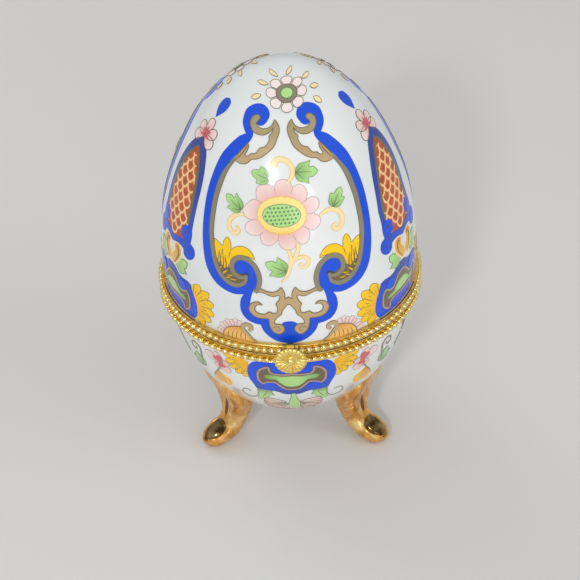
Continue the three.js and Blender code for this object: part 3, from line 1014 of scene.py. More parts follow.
frameOuter = openRuns(
    [(6.9, 65.2), (6.2, 64.9), (5.3, 65.1), (4.4, 65.9), (3.6, 67.2), (3.4, 68.3), (3.8, 69.7), (4.9, 70.6),
     (6.3, 70.7), (8.2, 69.9), (9.9, 68.4), (10.7, 66.6), (11.0, 64.9), (10.7, 63.5), (10.0, 62.3)],
    [(11.9, 61.2), (14.0, 59.3), (15.8, 57.4), (17.8, 54.9), (20.1, 50.6), (22.2, 45.2), (23.4, 40.0),
     (24.1, 35.0), (24.2, 30.0), (23.6, 25.4), (22.3, 22.4), (20.1, 20.1), (17.4, 18.9), (14.6, 18.5),
     (12.1, 19.0)],
    [(12.9, 17.6), (13.3, 15.6), (13.2, 13.7), (12.5, 12.0), (11.2, 10.6), (9.3, 9.9), (7.8, 9.7)],
    [(7.5, 8.6), (6.9, 7.3), (5.8, 5.9), (4.2, 4.6), (2.3, 3.8), (0.0, 3.4)],
)
frameInner = openRuns(
    [(0.0, 11.3), (1.3, 11.1), (2.1, 10.4)],
    [(1.7, 8.6), (2.4, 7.5), (3.4, 7.3), (4.3, 8.1), (4.9, 9.4), (5.2, 11.2), (5.6, 12.2)],
    [(8.3, 12.4), (9.7, 13.0), (10.4, 14.0), (10.6, 15.1), (10.3, 17.0), (10.0, 18.6), (9.4, 20.4),
     (8.4, 22.2), (8.1, 24.0), (8.4, 26.1), (9.4, 28.0), (10.9, 29.1), (12.4, 29.2), (13.8, 28.4),
     (14.4, 27.0), (14.2, 25.6), (13.1, 24.8), (11.9, 24.8), (11.1, 25.5)],
    [(10.7, 24.2), (11.1, 22.6), (12.6, 21.4), (14.4, 20.9), (16.4, 21.3), (18.3, 22.6), (19.8, 24.6),
     (20.7, 27.2), (21.3, 30.5), (21.5, 35.0), (20.8, 40.0), (19.6, 45.0), (17.6, 50.0), (15.6, 53.2),
     (13.4, 55.8), (11.1, 58.1), (9.3, 60.0), (8.1, 61.8), (7.9, 63.2), (8.1, 64.4), (7.7, 65.5),
     (6.9, 65.2)],
)


def paintFrame():
    fill("cobalt", 1, whole(frameOuter) + mirrored(frameInner) + frameInner, single, 0.25)


def beside(run, gap, widths):
    # points at a set distance to the left of a run, for a ribbon that hugs it
    track = smoothLine(run, 1.4)
    low, middle, high = widths
    points = []
    for i, (x, s) in enumerate(track):
        before, after = track[max(i - 1, 0)], track[min(i + 1, len(track) - 1)]
        length = dist(before, after)
        nx, ns = -(after[1] - before[1]) / length, (after[0] - before[0]) / length
        share = i / (len(track) - 1)
        width = low + (middle - low) * min(share * 8, 1.0) + (high - middle) * max(share * 6 - 5, 0.0)
        points.append((x + nx * gap, s + ns * gap, width))
    return points


rootStrokes = ((15.9, 24.6, 84, 2.6), (16.9, 25.4, 92, 3.2), (17.8, 25.9, 98, 3.0), (18.7, 26.6, 100, 3.2),
               (19.4, 27.2, 101, 2.6))
rootLights = ((14.9, 22.9, 176), (16.4, 23.2, 160), (17.7, 24.1, 142), (18.7, 25.3, 125), (15.7, 24.0, 166),
              (17.1, 24.8, 148))


def paintVolute():
    # the brown root of the acanthus, then the gold lines along the frame and round the disc
    root = closedRuns(
        [(11.3, 22.8), (12.8, 21.6), (14.5, 21.2), (16.4, 21.6), (18.2, 22.9), (19.6, 25.0), (20.2, 27.6)],
        [(19.3, 26.9), (18.4, 26.6), (17.3, 25.6)],
        [(16.2, 26.2), (14.6, 26.4)],
        [(13.2, 25.2), (11.3, 24.8)],
    )
    fill("umber", 1, root, tone=0.2)
    for x, s, degrees, length in rootStrokes:
        stroke("umber", 2, [(-0.4, 0.0, 0.4), (length / 2, 0.08, 0.2), (length, 0.0, 0.05)], (x, s), degrees)
    for x, s, degrees in rootLights:
        stroke("sunny", 3, [(-0.9, 0.0, 0.06), (0.0, 0.06, 0.24), (0.9, 0.0, 0.06)], (x, s), degrees)
    ribbon("bronze", 4, beside(frameInner[3][:16], 0.48, (0.4, 1.3, 0.5)), 0.16)
    ribbon("bronze", 4, beside(frameInner[2][7:], 0.62, (0.9, 1.25, 0.4)), 0.16)
    line("ink", 6, [(12.4, 25.0, 0.1), (11.7, 25.1, 0.25), (11.0, 25.5, 0.45), (10.4, 25.0, 0.15)])


strapOuter = openRuns(
    [(0.0, 19.3), (1.1, 18.6)],
    [(0.9, 19.3), (1.0, 20.5), (1.4, 21.5), (1.9, 22.2)],
    [(2.6, 21.4), (3.6, 20.8), (4.7, 20.7), (5.8, 20.9), (7.4, 21.6)],
    [(8.8, 21.4)],
    [(9.0, 20.3), (7.4, 20.5), (6.3, 20.2), (5.2, 19.7), (4.1, 19.4), (3.1, 19.6), (2.3, 20.1)],
    [(2.3, 19.0), (2.8, 17.9), (3.6, 16.9)],
    [(3.1, 16.4), (3.0, 15.5), (3.3, 14.1)],
    [(4.3, 14.0), (5.5, 14.6)],
    [(5.9, 13.8), (7.1, 13.4), (8.2, 13.6), (9.0, 14.2), (9.2, 15.1), (8.8, 16.0), (8.1, 16.5),
     (7.1, 16.4)],
    [(7.9, 17.2), (9.1, 17.1), (10.2, 16.4), (10.8, 15.1), (10.6, 13.9), (9.8, 12.8), (8.3, 12.1),
     (5.5, 12.0)],
    [(5.4, 10.6), (5.1, 9.0), (4.4, 7.7), (3.3, 6.9), (2.2, 7.1), (1.4, 8.3), (1.5, 9.5), (2.0, 10.2)],
    [(3.1, 10.4), (4.1, 10.2)],
    [(3.9, 11.5), (3.0, 12.9), (2.0, 13.6)],
    [(1.8, 14.8), (1.1, 15.9), (0.0, 17.3)],
)


def paintTrefoilStraps():
    outlined("gilt", 3, whole(strapOuter), 0.22, "umber", 0.1, single)
    line("umber", 5, curlPoints((3.3, 8.5), 1.15, 0.3, 0.95, 0.2, 0.2))


curlStrap = closedRuns(
    [(1.4, 65.9), (1.0, 64.6), (1.2, 63.1), (1.7, 61.8), (2.1, 60.7), (2.9, 59.4), (4.0, 58.4), (5.1, 57.5),
     (6.1, 56.8), (7.4, 56.3), (8.6, 56.1)],
    [(9.1, 55.5), (10.0, 54.8), (11.4, 54.5), (12.6, 54.7), (13.5, 55.2)],
    [(12.3, 56.7), (11.1, 58.1), (10.0, 59.3), (9.2, 60.1)],
    [(9.2, 59.1), (9.8, 57.8), (10.5, 56.8)],
    [(9.7, 56.7), (9.0, 57.0), (8.7, 57.7)],
    [(7.9, 57.5), (7.1, 58.0), (6.5, 58.8), (6.0, 59.5)],
    [(5.1, 59.5), (4.4, 60.2), (3.8, 61.1), (3.6, 61.9), (3.7, 62.5)],
    [(3.0, 63.2), (2.7, 64.0), (2.6, 64.7)],
    [(3.3, 63.7), (4.3, 63.0), (5.4, 62.6), (7.0, 62.7), (8.0, 63.3), (8.5, 64.2), (8.7, 65.4), (8.3, 66.5),
     (7.3, 67.5), (6.3, 67.7), (5.8, 67.2), (6.1, 66.5), (6.7, 65.9), (7.0, 65.3), (6.6, 64.7), (5.8, 64.3),
     (4.7, 64.3), (3.6, 64.7), (2.8, 65.4), (2.5, 66.1), (2.1, 66.9)],
)


def paintTopScroll():
    outlined("gilt", 3, curlStrap, 0.2, "umber", rising(55.0, 66.0))
    line("umber", 5, [(9.5, 59.4, 0.12), (10.6, 57.7, 0.22), (11.9, 56.2, 0.22), (12.8, 55.3, 0.1)])


crown = {"at": (1.1, 74.1), "eye": 1.55, "ring": 2.75, "petals": 8, "reach": 5.4, "width": 2.9}
seeds = ((1.9, 81.4, 62), (-2.5, 80.4, 146), (-5.4, 76.6, 182), (-7.2, 72.3, 210), (7.0, 77.8, 4),
         (9.2, 74.1, -19), (9.7, 70.4, -42))
seedRuns = closedRuns(
    [(-0.8, 0.5), (0.0, 0.66), (0.8, 0.5), (1.65, 0.0)],
    [(0.8, -0.5), (0.0, -0.66), (-0.8, -0.5), (-1.65, 0.0)],
)


def paintRosette():
    # the flower over the cartouche and the seeds round it
    at, ring = crown["at"], crown["ring"]
    for i in range(crown["petals"]):
        runs = petalRuns(at, 90 + 360 * i / crown["petals"], ring - 0.6, crown["reach"], crown["width"])
        outlined("blush", 2, runs, 0.16, "umber", sides=single)
    fill("umber", 4, discRuns(at, ring + 0.1), single)
    fill("bronze", 5, discRuns(at, ring - 0.15), single)
    outlined("leaf", 8, discRuns(at, crown["eye"]), 0.2, "moss", sides=single)
    for x, s, degrees in seeds:
        outlined("straw", 2, [placed(run, (x, s), degrees) for run in seedRuns], 0.14, "umber", sides=single)


bloom = {
    "at": (-1.0, 42.3),
    "eye": (4.9, 3.0),
    "ring": (6.35, 5.0),
    "frill": (24, 0.13),
    "edge": 0.13,
    "dot": (0.3, 0.32),
    "dotPitch": (1.05, 1.02),
    "dotClear": (0.5, 0.35),
}
bloomPetals = closedRuns(
    [(-10.6, 41.4), (-11.2, 43.1), (-9.9, 44.9), (-8.3, 46.1), (-7.2, 46.0)],
    [(-7.5, 47.8), (-7.0, 49.4), (-5.6, 50.1), (-4.0, 50.2), (-2.7, 49.4)],
    [(-2.1, 51.0), (-0.3, 51.6), (1.3, 50.8), (2.0, 49.2)],
    [(2.7, 50.0), (3.9, 50.1), (5.1, 49.2), (5.7, 47.4), (5.3, 45.9)],
    [(6.4, 46.5), (7.7, 46.4), (8.7, 45.3), (8.4, 43.4), (7.1, 42.3)],
    [(8.6, 41.3), (9.0, 39.8), (7.9, 38.2), (6.5, 37.9), (5.4, 38.6)],
    [(6.1, 37.4), (5.9, 35.6), (4.9, 34.6), (3.6, 34.5), (2.5, 35.6)],
    [(2.3, 34.0), (1.1, 33.1), (-0.6, 33.3), (-1.8, 34.4), (-2.1, 36.1)],
    [(-3.2, 34.7), (-4.8, 34.2), (-6.3, 34.8), (-6.9, 36.9)],
    [(-8.4, 36.6), (-10.0, 37.0), (-10.8, 38.3), (-10.2, 39.7), (-9.1, 40.6)],
)


def paintBloom():
    # the flower inside the frame, with rows of dots in its eye
    at = bloom["at"]
    outlined("blush", 2, bloomPetals, bloom["edge"], "mauve", fade(at, 10.6, 5.8), single)
    for petal in bloomPetals:
        notch = Vector(petal[0])
        inward = (Vector(at) - notch).normalized()
        marks = [(notch + inward * length, width) for length, width in ((0.0, 0.2), (0.8, 0.16), (1.7, 0.06))]
        line("mauve", 3, [(*place, width) for place, width in marks], single)
    frill = frillRuns(at, *bloom["ring"], *bloom["frill"])
    outlined("lemon", 4, frill, 0.16, "amber", rising(38.8, 36.8), single)
    outlined("leaf", 6, discRuns(at, *bloom["eye"], 18), 0.14, "moss", sides=single)
    (pitchX, pitchS), (clearX, clearS), (eyeX, eyeS) = bloom["dotPitch"], bloom["dotClear"], bloom["eye"]
    for row in range(-2, 3):
        for column in range(-5, 6):
            x, s = column * pitchX + (row % 2) * 0.52 + 0.1 * row, row * pitchS + 0.07 * column
            if (x / (eyeX - clearX)) ** 2 + (s / (eyeS - clearS)) ** 2 < 1:
                fill("moss", 8, discRuns((at[0] + x, at[1] + s), *bloom["dot"], 6), single)


curls = (
    [(-10.0, 41.2, 0.3), (-11.4, 41.7, 0.6), (-13.4, 41.1, 0.9), (-15.0, 39.6, 1.0), (-15.4, 37.9, 1.0),
     (-14.7, 36.6, 1.0), (-13.5, 36.3, 0.95), (-12.7, 37.0, 0.9), (-12.8, 37.9, 0.8), (-13.5, 37.9, 0.5)],
    [(8.6, 41.2, 0.4), (10.2, 42.1, 0.8), (11.8, 42.3, 1.0), (13.5, 41.8, 1.1), (14.7, 40.5, 1.1),
     (15.1, 38.8, 1.1), (14.8, 37.4, 1.05), (13.7, 36.7, 1.0), (12.7, 37.1, 0.95), (12.6, 38.0, 0.8),
     (13.4, 38.3, 0.5)],
    [(0.5, 50.6, 0.5), (1.7, 52.0, 0.9), (2.1, 53.6, 1.0), (1.6, 55.2, 1.05), (0.5, 56.3, 1.1),
     (-1.0, 56.8, 1.2), (-2.2, 56.2, 1.4), (-2.7, 55.2, 1.5), (-2.4, 54.3, 1.0)],
    [(-1.7, 23.6, 0.15), (-0.8, 24.7, 0.4), (0.2, 26.5, 0.75), (0.9, 29.0, 0.95), (1.0, 30.7, 0.8),
     (0.6, 32.4, 0.7), (-0.1, 33.8, 0.6)],
    [(0.9, 28.6, 0.5), (2.1, 30.9, 0.9), (2.9, 32.8, 0.9), (2.9, 34.4, 0.8), (2.6, 35.8, 0.6)],
    [(1.2, 29.2, 0.3), (2.7, 30.5, 0.7), (4.0, 30.9, 0.85), (5.2, 30.4, 0.9), (5.6, 29.3, 0.85),
     (5.1, 28.2, 0.8), (4.1, 27.9, 0.75), (3.4, 28.5, 0.65), (3.8, 29.2, 0.4)],
)
leaves = ((-11.7, 42.8, 145, 5.3), (12.6, 42.8, 62, 5.0), (2.8, 53.2, -4, 5.9), (-3.9, 51.6, 162, 5.0),
          (-0.2, 26.9, 157, 6.0))


def paintSprays():
    for curl in curls:
        ribbon("straw", 2, curl, 0.24, "amber", single)
    for leaf in leaves:
        leafAt(*leaf)


acanthus = closedRuns(
    [(20.3, 31.0), (20.1, 33.1)],
    [(18.9, 32.7), (17.6, 31.6)],
    [(17.2, 33.3), (16.1, 34.9)],
    [(15.2, 33.6), (15.1, 31.3)],
    [(14.1, 32.3), (12.4, 33.0), (10.4, 32.7), (9.1, 31.4), (8.4, 29.6)],
    [(9.7, 30.3), (11.4, 30.4), (13.1, 29.8), (14.6, 28.7), (15.5, 27.0), (15.8, 25.2), (14.9, 24.4),
     (13.2, 24.2), (12.0, 24.7)],
    [(11.8, 23.2), (13.2, 22.2), (15.0, 21.9), (17.0, 22.8), (18.6, 24.6), (19.6, 26.4), (20.0, 28.0)],
)
veins = (
    [(16.9, 29.4, 0.05), (16.9, 27.8, 0.12), (16.7, 26.0, 0.2)],
    [(18.8, 30.4, 0.05), (18.6, 28.6, 0.12), (18.3, 26.8, 0.2)],
    [(17.7, 31.0, 0.3), (17.7, 29.8, 0.18), (17.6, 28.0, 0.05)],
    [(15.3, 31.0, 0.12), (15.6, 29.9, 0.14), (16.0, 28.8, 0.06)],
)


def paintAcanthus():
    outlined("sunny", 0, acanthus, 0.14, "umber", rising(28.5, 24.5))
    for vein in veins:
        line("umber", 3, vein)


def paintLowShell():
    # the shell under the frame: a fringe of petals, its ribbed body and the strap that curls over it
    for i in range(8):
        share = i / 7
        at = (15.4 - 0.6 * share, 3.7 + 0.9 * share)
        runs = petalRuns(at, 6 + 96 * share, 2.4, 5.9 - 0.5 * (i % 2), 1.5)
        outlined("blush", 1, runs, 0.12, "mauve", fade(at, 6.6, 2.6))
    body = closedRuns(
        [(18.9, 4.4), (17.7, 6.3), (15.7, 7.4), (13.4, 7.9)],
        [(12.4, 6.4), (11.4, 4.9), (9.4, 3.5), (8.6, 2.8)],
        [(14.0, 2.8), (19.0, 2.9)],
    )
    outlined("apricot", 3, body, 0.22, "umber", rising(5.0, 7.6))
    for i in range(5):
        x = 17.6 - 1.3 * i
        rib = [(x, 3.2 + 0.1 * i, 0.12), (x - 0.1, 4.4 + 0.25 * i, 0.2), (x - 0.5, 5.4 + 0.25 * i, 0.08)]
        line("umber", 5, rib)
    ribbon("gilt", 5, [
        (9.2, 3.3, 0.3), (10.6, 4.3, 0.6), (11.6, 5.6, 0.8), (12.8, 7.0, 1.0), (12.9, 8.2, 1.05),
        (12.0, 9.0, 1.1), (10.8, 8.7, 1.1), (10.5, 7.6, 0.9), (11.3, 7.0, 0.7)], 0.2)


# Between the great cartouches: the scaled lancet with its flower and drop, and the pair of scrolls under it

lancetOuter = openRuns(
    [(0.0, 56.3), (3.4, 54.0), (5.8, 49.7), (7.2, 45.0), (7.8, 39.6), (8.1, 34.0), (8.3, 29.6),
     (8.4, 27.9)],
    [(10.1, 27.3), (10.7, 25.5), (10.0, 23.8), (8.3, 23.0), (6.6, 23.8), (5.9, 25.3)],
    [(4.0, 25.8), (2.0, 25.5), (0.0, 24.8)],
)
lancetInner = openRuns(
    [(0.0, 26.5), (1.8, 27.0), (3.6, 27.4), (5.6, 27.3)],
    [(4.4, 28.4), (4.1, 30.2), (5.0, 31.9), (6.4, 32.2)],
    [(6.3, 35.0), (6.0, 39.6), (5.1, 45.0), (3.4, 49.6), (0.0, 53.8)],
)
scales = {
    "pitch": 3.5,
    "row": 2.35,
    "low": 28.4,
    "high": 53.5,
    "thread": 0.62,
    "clear": 0.15,
    "arch": ((-1.75, 1.45), (-1.5, 0.1), (-0.8, -0.85), (0.0, -1.15), (0.8, -0.85), (1.5, 0.1), (1.75, 1.45)),
}


def paintScales():
    # rows of arches, each thread cut off where it would run over the lancet's edge
    edge = joinRuns(lancetInner[2:], 0.4)

    def halfWidth(s):
        return min(edge, key=lambda p: abs(p[1] - s))[0] - scales["clear"] if s > 32 else 2.0 + (s - 27) * 0.5

    row, s = 0, scales["low"]
    while s < scales["high"]:
        shift = scales["pitch"] / 2 * (row % 2)
        for column in range(-3, 4):
            x = column * scales["pitch"] + shift
            kept = [(x + u, s + v) for u, v in scales["arch"] if abs(x + u) < halfWidth(s + v)]
            widths = [scales["thread"] * (0.5 if n in (0, len(kept) - 1) else 1) for n in range(len(kept))]
            if len(kept) > 2:
                line("peach", 2, [(*place, width) for place, width in zip(kept, widths)], single, step=0.6)
        s += scales["row"]
        row += 1


def paintLancet():
    fill("rust", 0, whole(lancetInner), single, lambda x, s: 0.5 + 0.5 * sin(s * 2 * pi / scales["row"]))
    paintScales()
    side = [lancetOuter[0], [(8.4, 27.9), (6.4, 32.2)], lancetInner[2], [(0.0, 53.8), (0.0, 56.3)]]
    fill("navy", 1, side, tone=rising(30, 50))
    line("umber", 2, [
        (0.0, 53.6, 0.3), (2.2, 51.2, 0.8), (4.5, 45.8, 1.1), (5.7, 39.6, 1.2), (6.0, 33.0, 1.1)])
    lowEnd = closedRuns(
        [(8.5, 30.0), (8.1, 31.8), (6.4, 32.6)],
        [(4.9, 32.2), (4.0, 30.6), (4.3, 28.9), (5.6, 27.9)],
        [(3.6, 27.7), (1.8, 27.2), (0.0, 26.5)],
        [(0.0, 24.6)],
        [(2.0, 25.3), (4.0, 25.6), (5.8, 25.2)],
        [(6.4, 23.6), (8.0, 22.9), (9.8, 23.6), (10.6, 25.3), (10.0, 27.1), (8.4, 27.9)],
    )
    fill("cobalt", 3, lowEnd, tone=0.5)
    for centre in ((6.2, 30.6), (8.3, 25.5)):
        fill("cobalt", 4, discRuns(centre, 1.7, 1.8))
        fill("navy", 5, discRuns(centre, 0.65, 0.7), tone=1.0)


def paintLancetFlower(s):
    heart = (0.0, s)
    for degrees, outer in ((205, 5.2), (160, 4.6), (90, 4.6), (20, 4.6), (-25, 5.2)):
        runs = petalRuns(heart, degrees, 0.3, outer, 3.1)
        outlined("blush", 1, runs, 0.2, "umber", fade(heart, 5.5, 1.5), single)
    for degrees in (35, 90, 145, 200, -20):
        stroke("rose", 4, [(0.2, 0.0, 1.3), (1.2, 0.0, 0.9), (2.2, 0.0, 0.2)], heart, degrees, single)


dropSide = ((0.0, 0.0), (0.7, 1.0), (1.6, 2.4), (1.9, 3.9), (1.4, 5.5), (0.0, 6.2))


def paintDrop(low):
    fill("cobalt", 2, whole([[(x, low + s) for x, s in dropSide]]), single, 0.3)


def paintScrollPair():
    # the pair of scrolls and leaves over the green cartouche
    scroll = closedRuns(
        [(0.6, 18.2), (1.6, 17.9), (3.6, 19.6), (4.9, 21.8), (4.8, 24.0), (3.6, 25.2), (2.2, 25.1),
         (1.2, 24.2)],
        [(1.6, 22.6), (0.8, 21.4), (0.0, 20.8)],
        [(0.0, 19.2)],
    )
    outlined("amber", 2, scroll, 0.45, "straw", rising(20, 25))
    line("umber", 4, [
        (1.6, 18.4, 0.12), (3.2, 20.6, 0.25), (3.7, 22.8, 0.3), (2.9, 24.2, 0.25), (2.2, 23.6, 0.15)])
    outlined("leaf", 1, leafRuns((3.2, 17.9), 38, 6.0), 0.2, "moss", fade((4, 18), 4, -4))


# On both halves: the cartouche with the green window, and the fan of petals beside it

fans = {
    "lid": {
        "heart": (9.8, 9.3),
        "petals": ((-54, 7.2), (-28, 7.8), (-3, 8.3), (21, 8.9), (44, 9.2), (67, 8.2)),
        "width": 3.8,
        "combTurn": 12,
    },
    "bowl": {
        "heart": (11.6, 6.2),
        "petals": [(20 * i - 8, 8.4 - 0.35 * i) for i in range(5)],
        "width": 3.3,
        "combTurn": 10,
    },
}


def paintFan():
    # flame-shaped bright petals, edged at their tips, with dark comb strokes on and between them
    fan = fans[brush["half"]]
    heart = fan["heart"]
    for degrees, outer in fan["petals"]:
        runs = petalRuns(heart, degrees, 0.6, outer, fan["width"], 0.3)
        fill("sunny", -1, runs, tone=fade(heart, 6.0, 1.0))
        line("umber", 0, [(x, s, 0.14) for x, s in runs[0][2:] + runs[1][1:3]])
        comb = [(outer * 0.42, 0.0, 0.05), (outer * 0.6, 0.0, 0.22), (outer * 0.8, 0.0, 0.12)]
        stroke("umber", 0, comb, heart, degrees + fan["combTurn"])
        stroke("umber", 0, [(outer * 0.5, 0.0, 0.05), (outer * 0.66, 0.0, 0.2)], heart, degrees)


cartoucheOuter = openRuns(
    [(0.0, 0.1), (5.0, 0.1), (8.2, 0.0), (10.2, 0.4), (11.7, 1.7), (12.6, 3.9), (12.7, 6.6), (12.2, 8.8),
     (11.3, 10.9), (10.4, 13.3)],
    [(8.6, 13.8), (6.1, 13.6), (4.1, 14.1), (2.2, 15.2), (0.0, 15.5)],
)
cartoucheWindow = openRuns(
    [(0.0, 4.9), (2.2, 5.1), (3.9, 5.1), (5.3, 4.9), (6.2, 3.8), (6.4, 1.9)],
    [(8.6, 3.3), (9.6, 5.5), (9.4, 8.6), (8.3, 10.2)],
    [(6.9, 9.1), (4.8, 8.9), (3.4, 10.5), (1.9, 12.0), (0.0, 12.4)],
)
cartoucheGreen = [
    (0.0, 5.7), (2.4, 5.9), (4.6, 5.7), (6.6, 5.4), (7.7, 6.2), (6.6, 7.4), (4.6, 7.4), (3.4, 8.9),
    (1.8, 10.5), (0.0, 10.9),
]
cartoucheFits = {
    "lid": {"start": 2.9, "scale": 0.93, "thin": 0.72},
    "bowl": {"start": 4.5, "scale": 1.0, "thin": 1.0},
}
greenLine = 6.6  # the middle of the green window, which it gets thinner about


def paintCartouche():
    # counted away from the beaded band
    start, scale, thin = cartoucheFits[brush["half"]].values()

    def fitted(runs):
        return whole([[(x * scale, start + s * scale) for x, s in run] for run in runs])

    fill("cobalt", 1, fitted(cartoucheOuter), single, rising(start + 9 * scale, start + 14 * scale))
    window = fitted(cartoucheWindow)
    fill("umber", 2, window, single, 0.3)
    edging("umber", 3, window, 1.0 * scale, single, 0.5, step=0.4)
    edging("mauve", 4, window, 0.55 * scale, single, step=0.4)
    slim = [(x, greenLine + (s - greenLine) * thin) for x, s in cartoucheGreen]
    middle = (0.0, start + 7.5 * scale)
    fill("leaf", 4, fitted([slim]), single, fade(middle, 2.0 * scale, 7.0 * scale))
    fill("cobalt", 5, discRuns((6.2 * scale, start + 11.1 * scale), 1.9 * scale, 1.85 * scale, 16))


# The bowl's own motifs, under the green cartouche and between two of them

def paintBowlLeaves():
    leaf = closedRuns(
        [(8.2, 18.8), (5.8, 18.3)],
        [(5.9, 19.6), (5.3, 20.6)],
        [(6.6, 21.2), (6.8, 22.6)],
        [(7.8, 22.8), (8.5, 24.6)],
        [(9.3, 24.9), (10.4, 24.2)],
        [(9.8, 22.0), (10.2, 18.3)],
    )
    outlined("leaf", 2, leaf, 0.14, "moss", rising(21.0, 18.0, 0.6))
    line("moss", 4, [(7.2, 19.2, 0.1), (8.0, 21.0, 0.22), (9.0, 23.4, 0.08)])
    line("moss", 3, [
        (9.9, 18.8, 0.4), (10.1, 21.6, 0.34), (11.0, 23.8, 0.28), (12.6, 24.5, 0.26), (14.3, 23.6, 0.26),
        (15.0, 21.8, 0.3), (14.4, 20.2, 0.28), (13.1, 19.8, 0.25), (12.3, 20.6, 0.2)], tone=1.0)
    stem = [(0.3, 19.4, 1.0), (0.3, 22.0, 1.5), (0.4, 24.4, 2.6), (0.4, 27.0, 3.2), (0.4, 32.0, 3.0)]
    ribbon("leaf", 2, stem, 0.3, "moss", single)
    for i in range(7):
        runs = petalRuns((0.8, 25.6), -6 + 92 * i / 6, 1.5, 7.6 + 0.35 * i, 3.3)
        outlined("blush", 0, runs, 0.22, "umber", fade((0, 25), 4, 8))


tulip = {
    "heart": (21.2, 10.2),
    "petals": ((196, 2.9, 2.6), (128, 4.3, 2.9), (60, 3.6, 2.9), (-24, 6.2, 3.2), (-66, 4.6, 2.7)),
    "blushes": ((-78, 3.4, 2.2), (-40, 3.4, 1.7), (70, 2.2, 1.4), (130, 2.0, 1.2)),
}


def paintTulip():
    heart = tulip["heart"]
    for degrees, outer, width in tulip["petals"]:
        runs = petalRuns(heart, degrees, 0.2, outer, width, 0.2)
        outlined("blush", 2, runs, 0.18, "mauve", fade(heart, 5.5, 2.0))
    for degrees, outer, width in tulip["blushes"]:
        fill("rose", 4, petalRuns(heart, degrees, 0.0, outer, width, 0.3))
    bud = closedRuns(
        [(21.0, 15.8), (19.0, 17.0), (18.2, 18.8), (18.5, 20.8), (20.0, 22.2)],
        [(21.4, 21.8), (22.2, 22.4), (23.8, 22.2)],
        [(24.8, 20.4), (24.7, 18.4), (23.8, 16.2), (22.6, 14.6)],
    )
    outlined("amber", 1, bud, 0.16, "straw", rising(21.0, 15.5))
    line("sunny", 4, [(21.6, 16.4, 0.3), (20.0, 17.8, 0.8), (19.4, 19.4, 1.0), (20.0, 21.0, 0.5)])
    line("moss", 3, [
        (20.6, 9.6, 0.45), (21.6, 12.2, 0.5), (22.9, 15.0, 0.5), (24.3, 17.6, 0.45), (24.9, 20.2, 0.2)])


def paintSideCurls():
    line("bronze", 2, [(29.6, 17.6, 0.4), (29.2, 14.0, 0.7), *curlPoints((31.6, 9.6), 2.7, 2.7, 1.2, 0.75)])
    outlined("leaf", 1, leafRuns((30.0, 18.4), -75, 6.4), 0.2, "moss", fade((30, 18), 6, 1))


# Where the lid's motifs go: degrees round from the front, and for the cartouches and rosettes how much
# lower they end, for the lancets how far they lean. What stands between the cartouches is set one by one.

lidPlaces = {
    "cartouches": ((0.0, 0.0), (-125.5, 3.7), (132.0, 5.5)),
    "rosettes": ((0.0, 0.0), (-127.0, 3.7), (127.7, 5.5)),
    "windows": (58.0, -62.0),
    "lancets": ((62.0, 7.0), (-62.0, 0.0)),
    "flower": 57.2,
    "drop": 62.4,
    "rear": 182.5,
    "rearFlower": 32.0,
    "rearDrops": (38.5, 46.5, 54.5, 62.4),
}


def paintLid():
    for degrees, drop in lidPlaces["cartouches"]:
        setBrush("lid", degrees, drop=drop)
        for paintPart in (paintFrame, paintVolute, paintTrefoilStraps, paintTopScroll, paintBloom,
                          paintSprays, paintAcanthus, paintLowShell):
            paintPart()
    for degrees, drop in lidPlaces["rosettes"]:
        setBrush("lid", degrees, drop=drop)
        paintRosette()
    for degrees in lidPlaces["windows"]:
        setBrush("lid", degrees)
        paintCartouche()
        paintFan()
    for degrees, lean in lidPlaces["lancets"]:
        setBrush("lid", degrees, lean=lean)
        paintScrollPair()
        paintLancet()
        paintLancetFlower(lidPlaces["flower"])
        paintDrop(lidPlaces["drop"])
    setBrush("lid", lidPlaces["rear"])
    paintCartouche()
    paintScrollPair()
    paintLancetFlower(lidPlaces["rearFlower"])
    for low in lidPlaces["rearDrops"]:
        paintDrop(low)


def paintBowlThird():
    # drawn in front only; Geometry Nodes turn it to the other two thirds
    setBrush("bowl", 0.0)
    paintCartouche()
    paintBowlLeaves()
    paintFan()
    paintTulip()
    paintSideCurls()


paints = {
    "cobalt": ("0450e6", "2148a8"),
    "navy": ("2450bc", "36499a"),
    "gilt": ("c6a87c", "a59a72"),
    "bronze": ("8e8770", "76735f"),
    "umber": ("78694a", "5a5236"),
    "ink": ("4b4234", "37302a"),
    "sunny": ("fecd0e", "f5ae12"),
    "lemon": ("fde38c", "f6c662"),
    "amber": ("efb954", "dd9a38"),
    "straw": ("fae3ad", "eecb7d"),
    "apricot": ("f7c26c", "dc9a44"),
    "peach": ("fdca90", "f4b06c"),
    "rust": ("cc6230", "a54a20"),
    "leaf": ("b3df8e", "82b064"),
    "moss": ("6c8862", "84907a"),
    "blush": ("f6e6e3", "edbfb9"),
    "mauve": ("b99a9c", "a58c8f"),
    "rose": ("cf6470", "b85763"),
}
lustres = ("gilt", "bronze")


def makePaint(name, first, second):
    lustre = name in lustres
    material, tree, shader = newMaterial(
        name + "Enamel", Metallic=0.12 if lustre else 0.0, Roughness=0.32 if lustre else 0.2,
        Specular_IOR_Level=0.25, Coat_Weight=0.45, Coat_Roughness=porcelainLook["coatRoughness"])
    mask = useGroup(tree, toneMask, Unevenness=0.3)
    feed(tree, shader, Base_Color=mixed(tree, mask["Mask"], first, second),
         Normal=bumped(tree, mask["Height"], 0.06, 0.00003))
    return material


def raisePaint():
    # one piece for each colour and half
    enamels = {name: makePaint(name, *pair) for name, pair in paints.items()}
    for (half, paint), store in painted.items():
        name, count = half + paint.capitalize() + "Enamel", enamel["copies"][half]
        marks = build(name + "Marks", store["corners"], store["faces"], enamel["sharpAngle"], weld=False)
        tones = marks.attributes.new("tone", "FLOAT", "POINT")
        tones.data.foreach_set("value", store["tones"])
        mesh = ringOf(name, marks, enamels[paint], count, 2 * pi / count)
        addPiece(name, mesh, half)
        print("painted", name, len(mesh.polygons), "faces")


paintLid()
paintBowlThird()
raisePaint()


# Camera at the photograph's angle

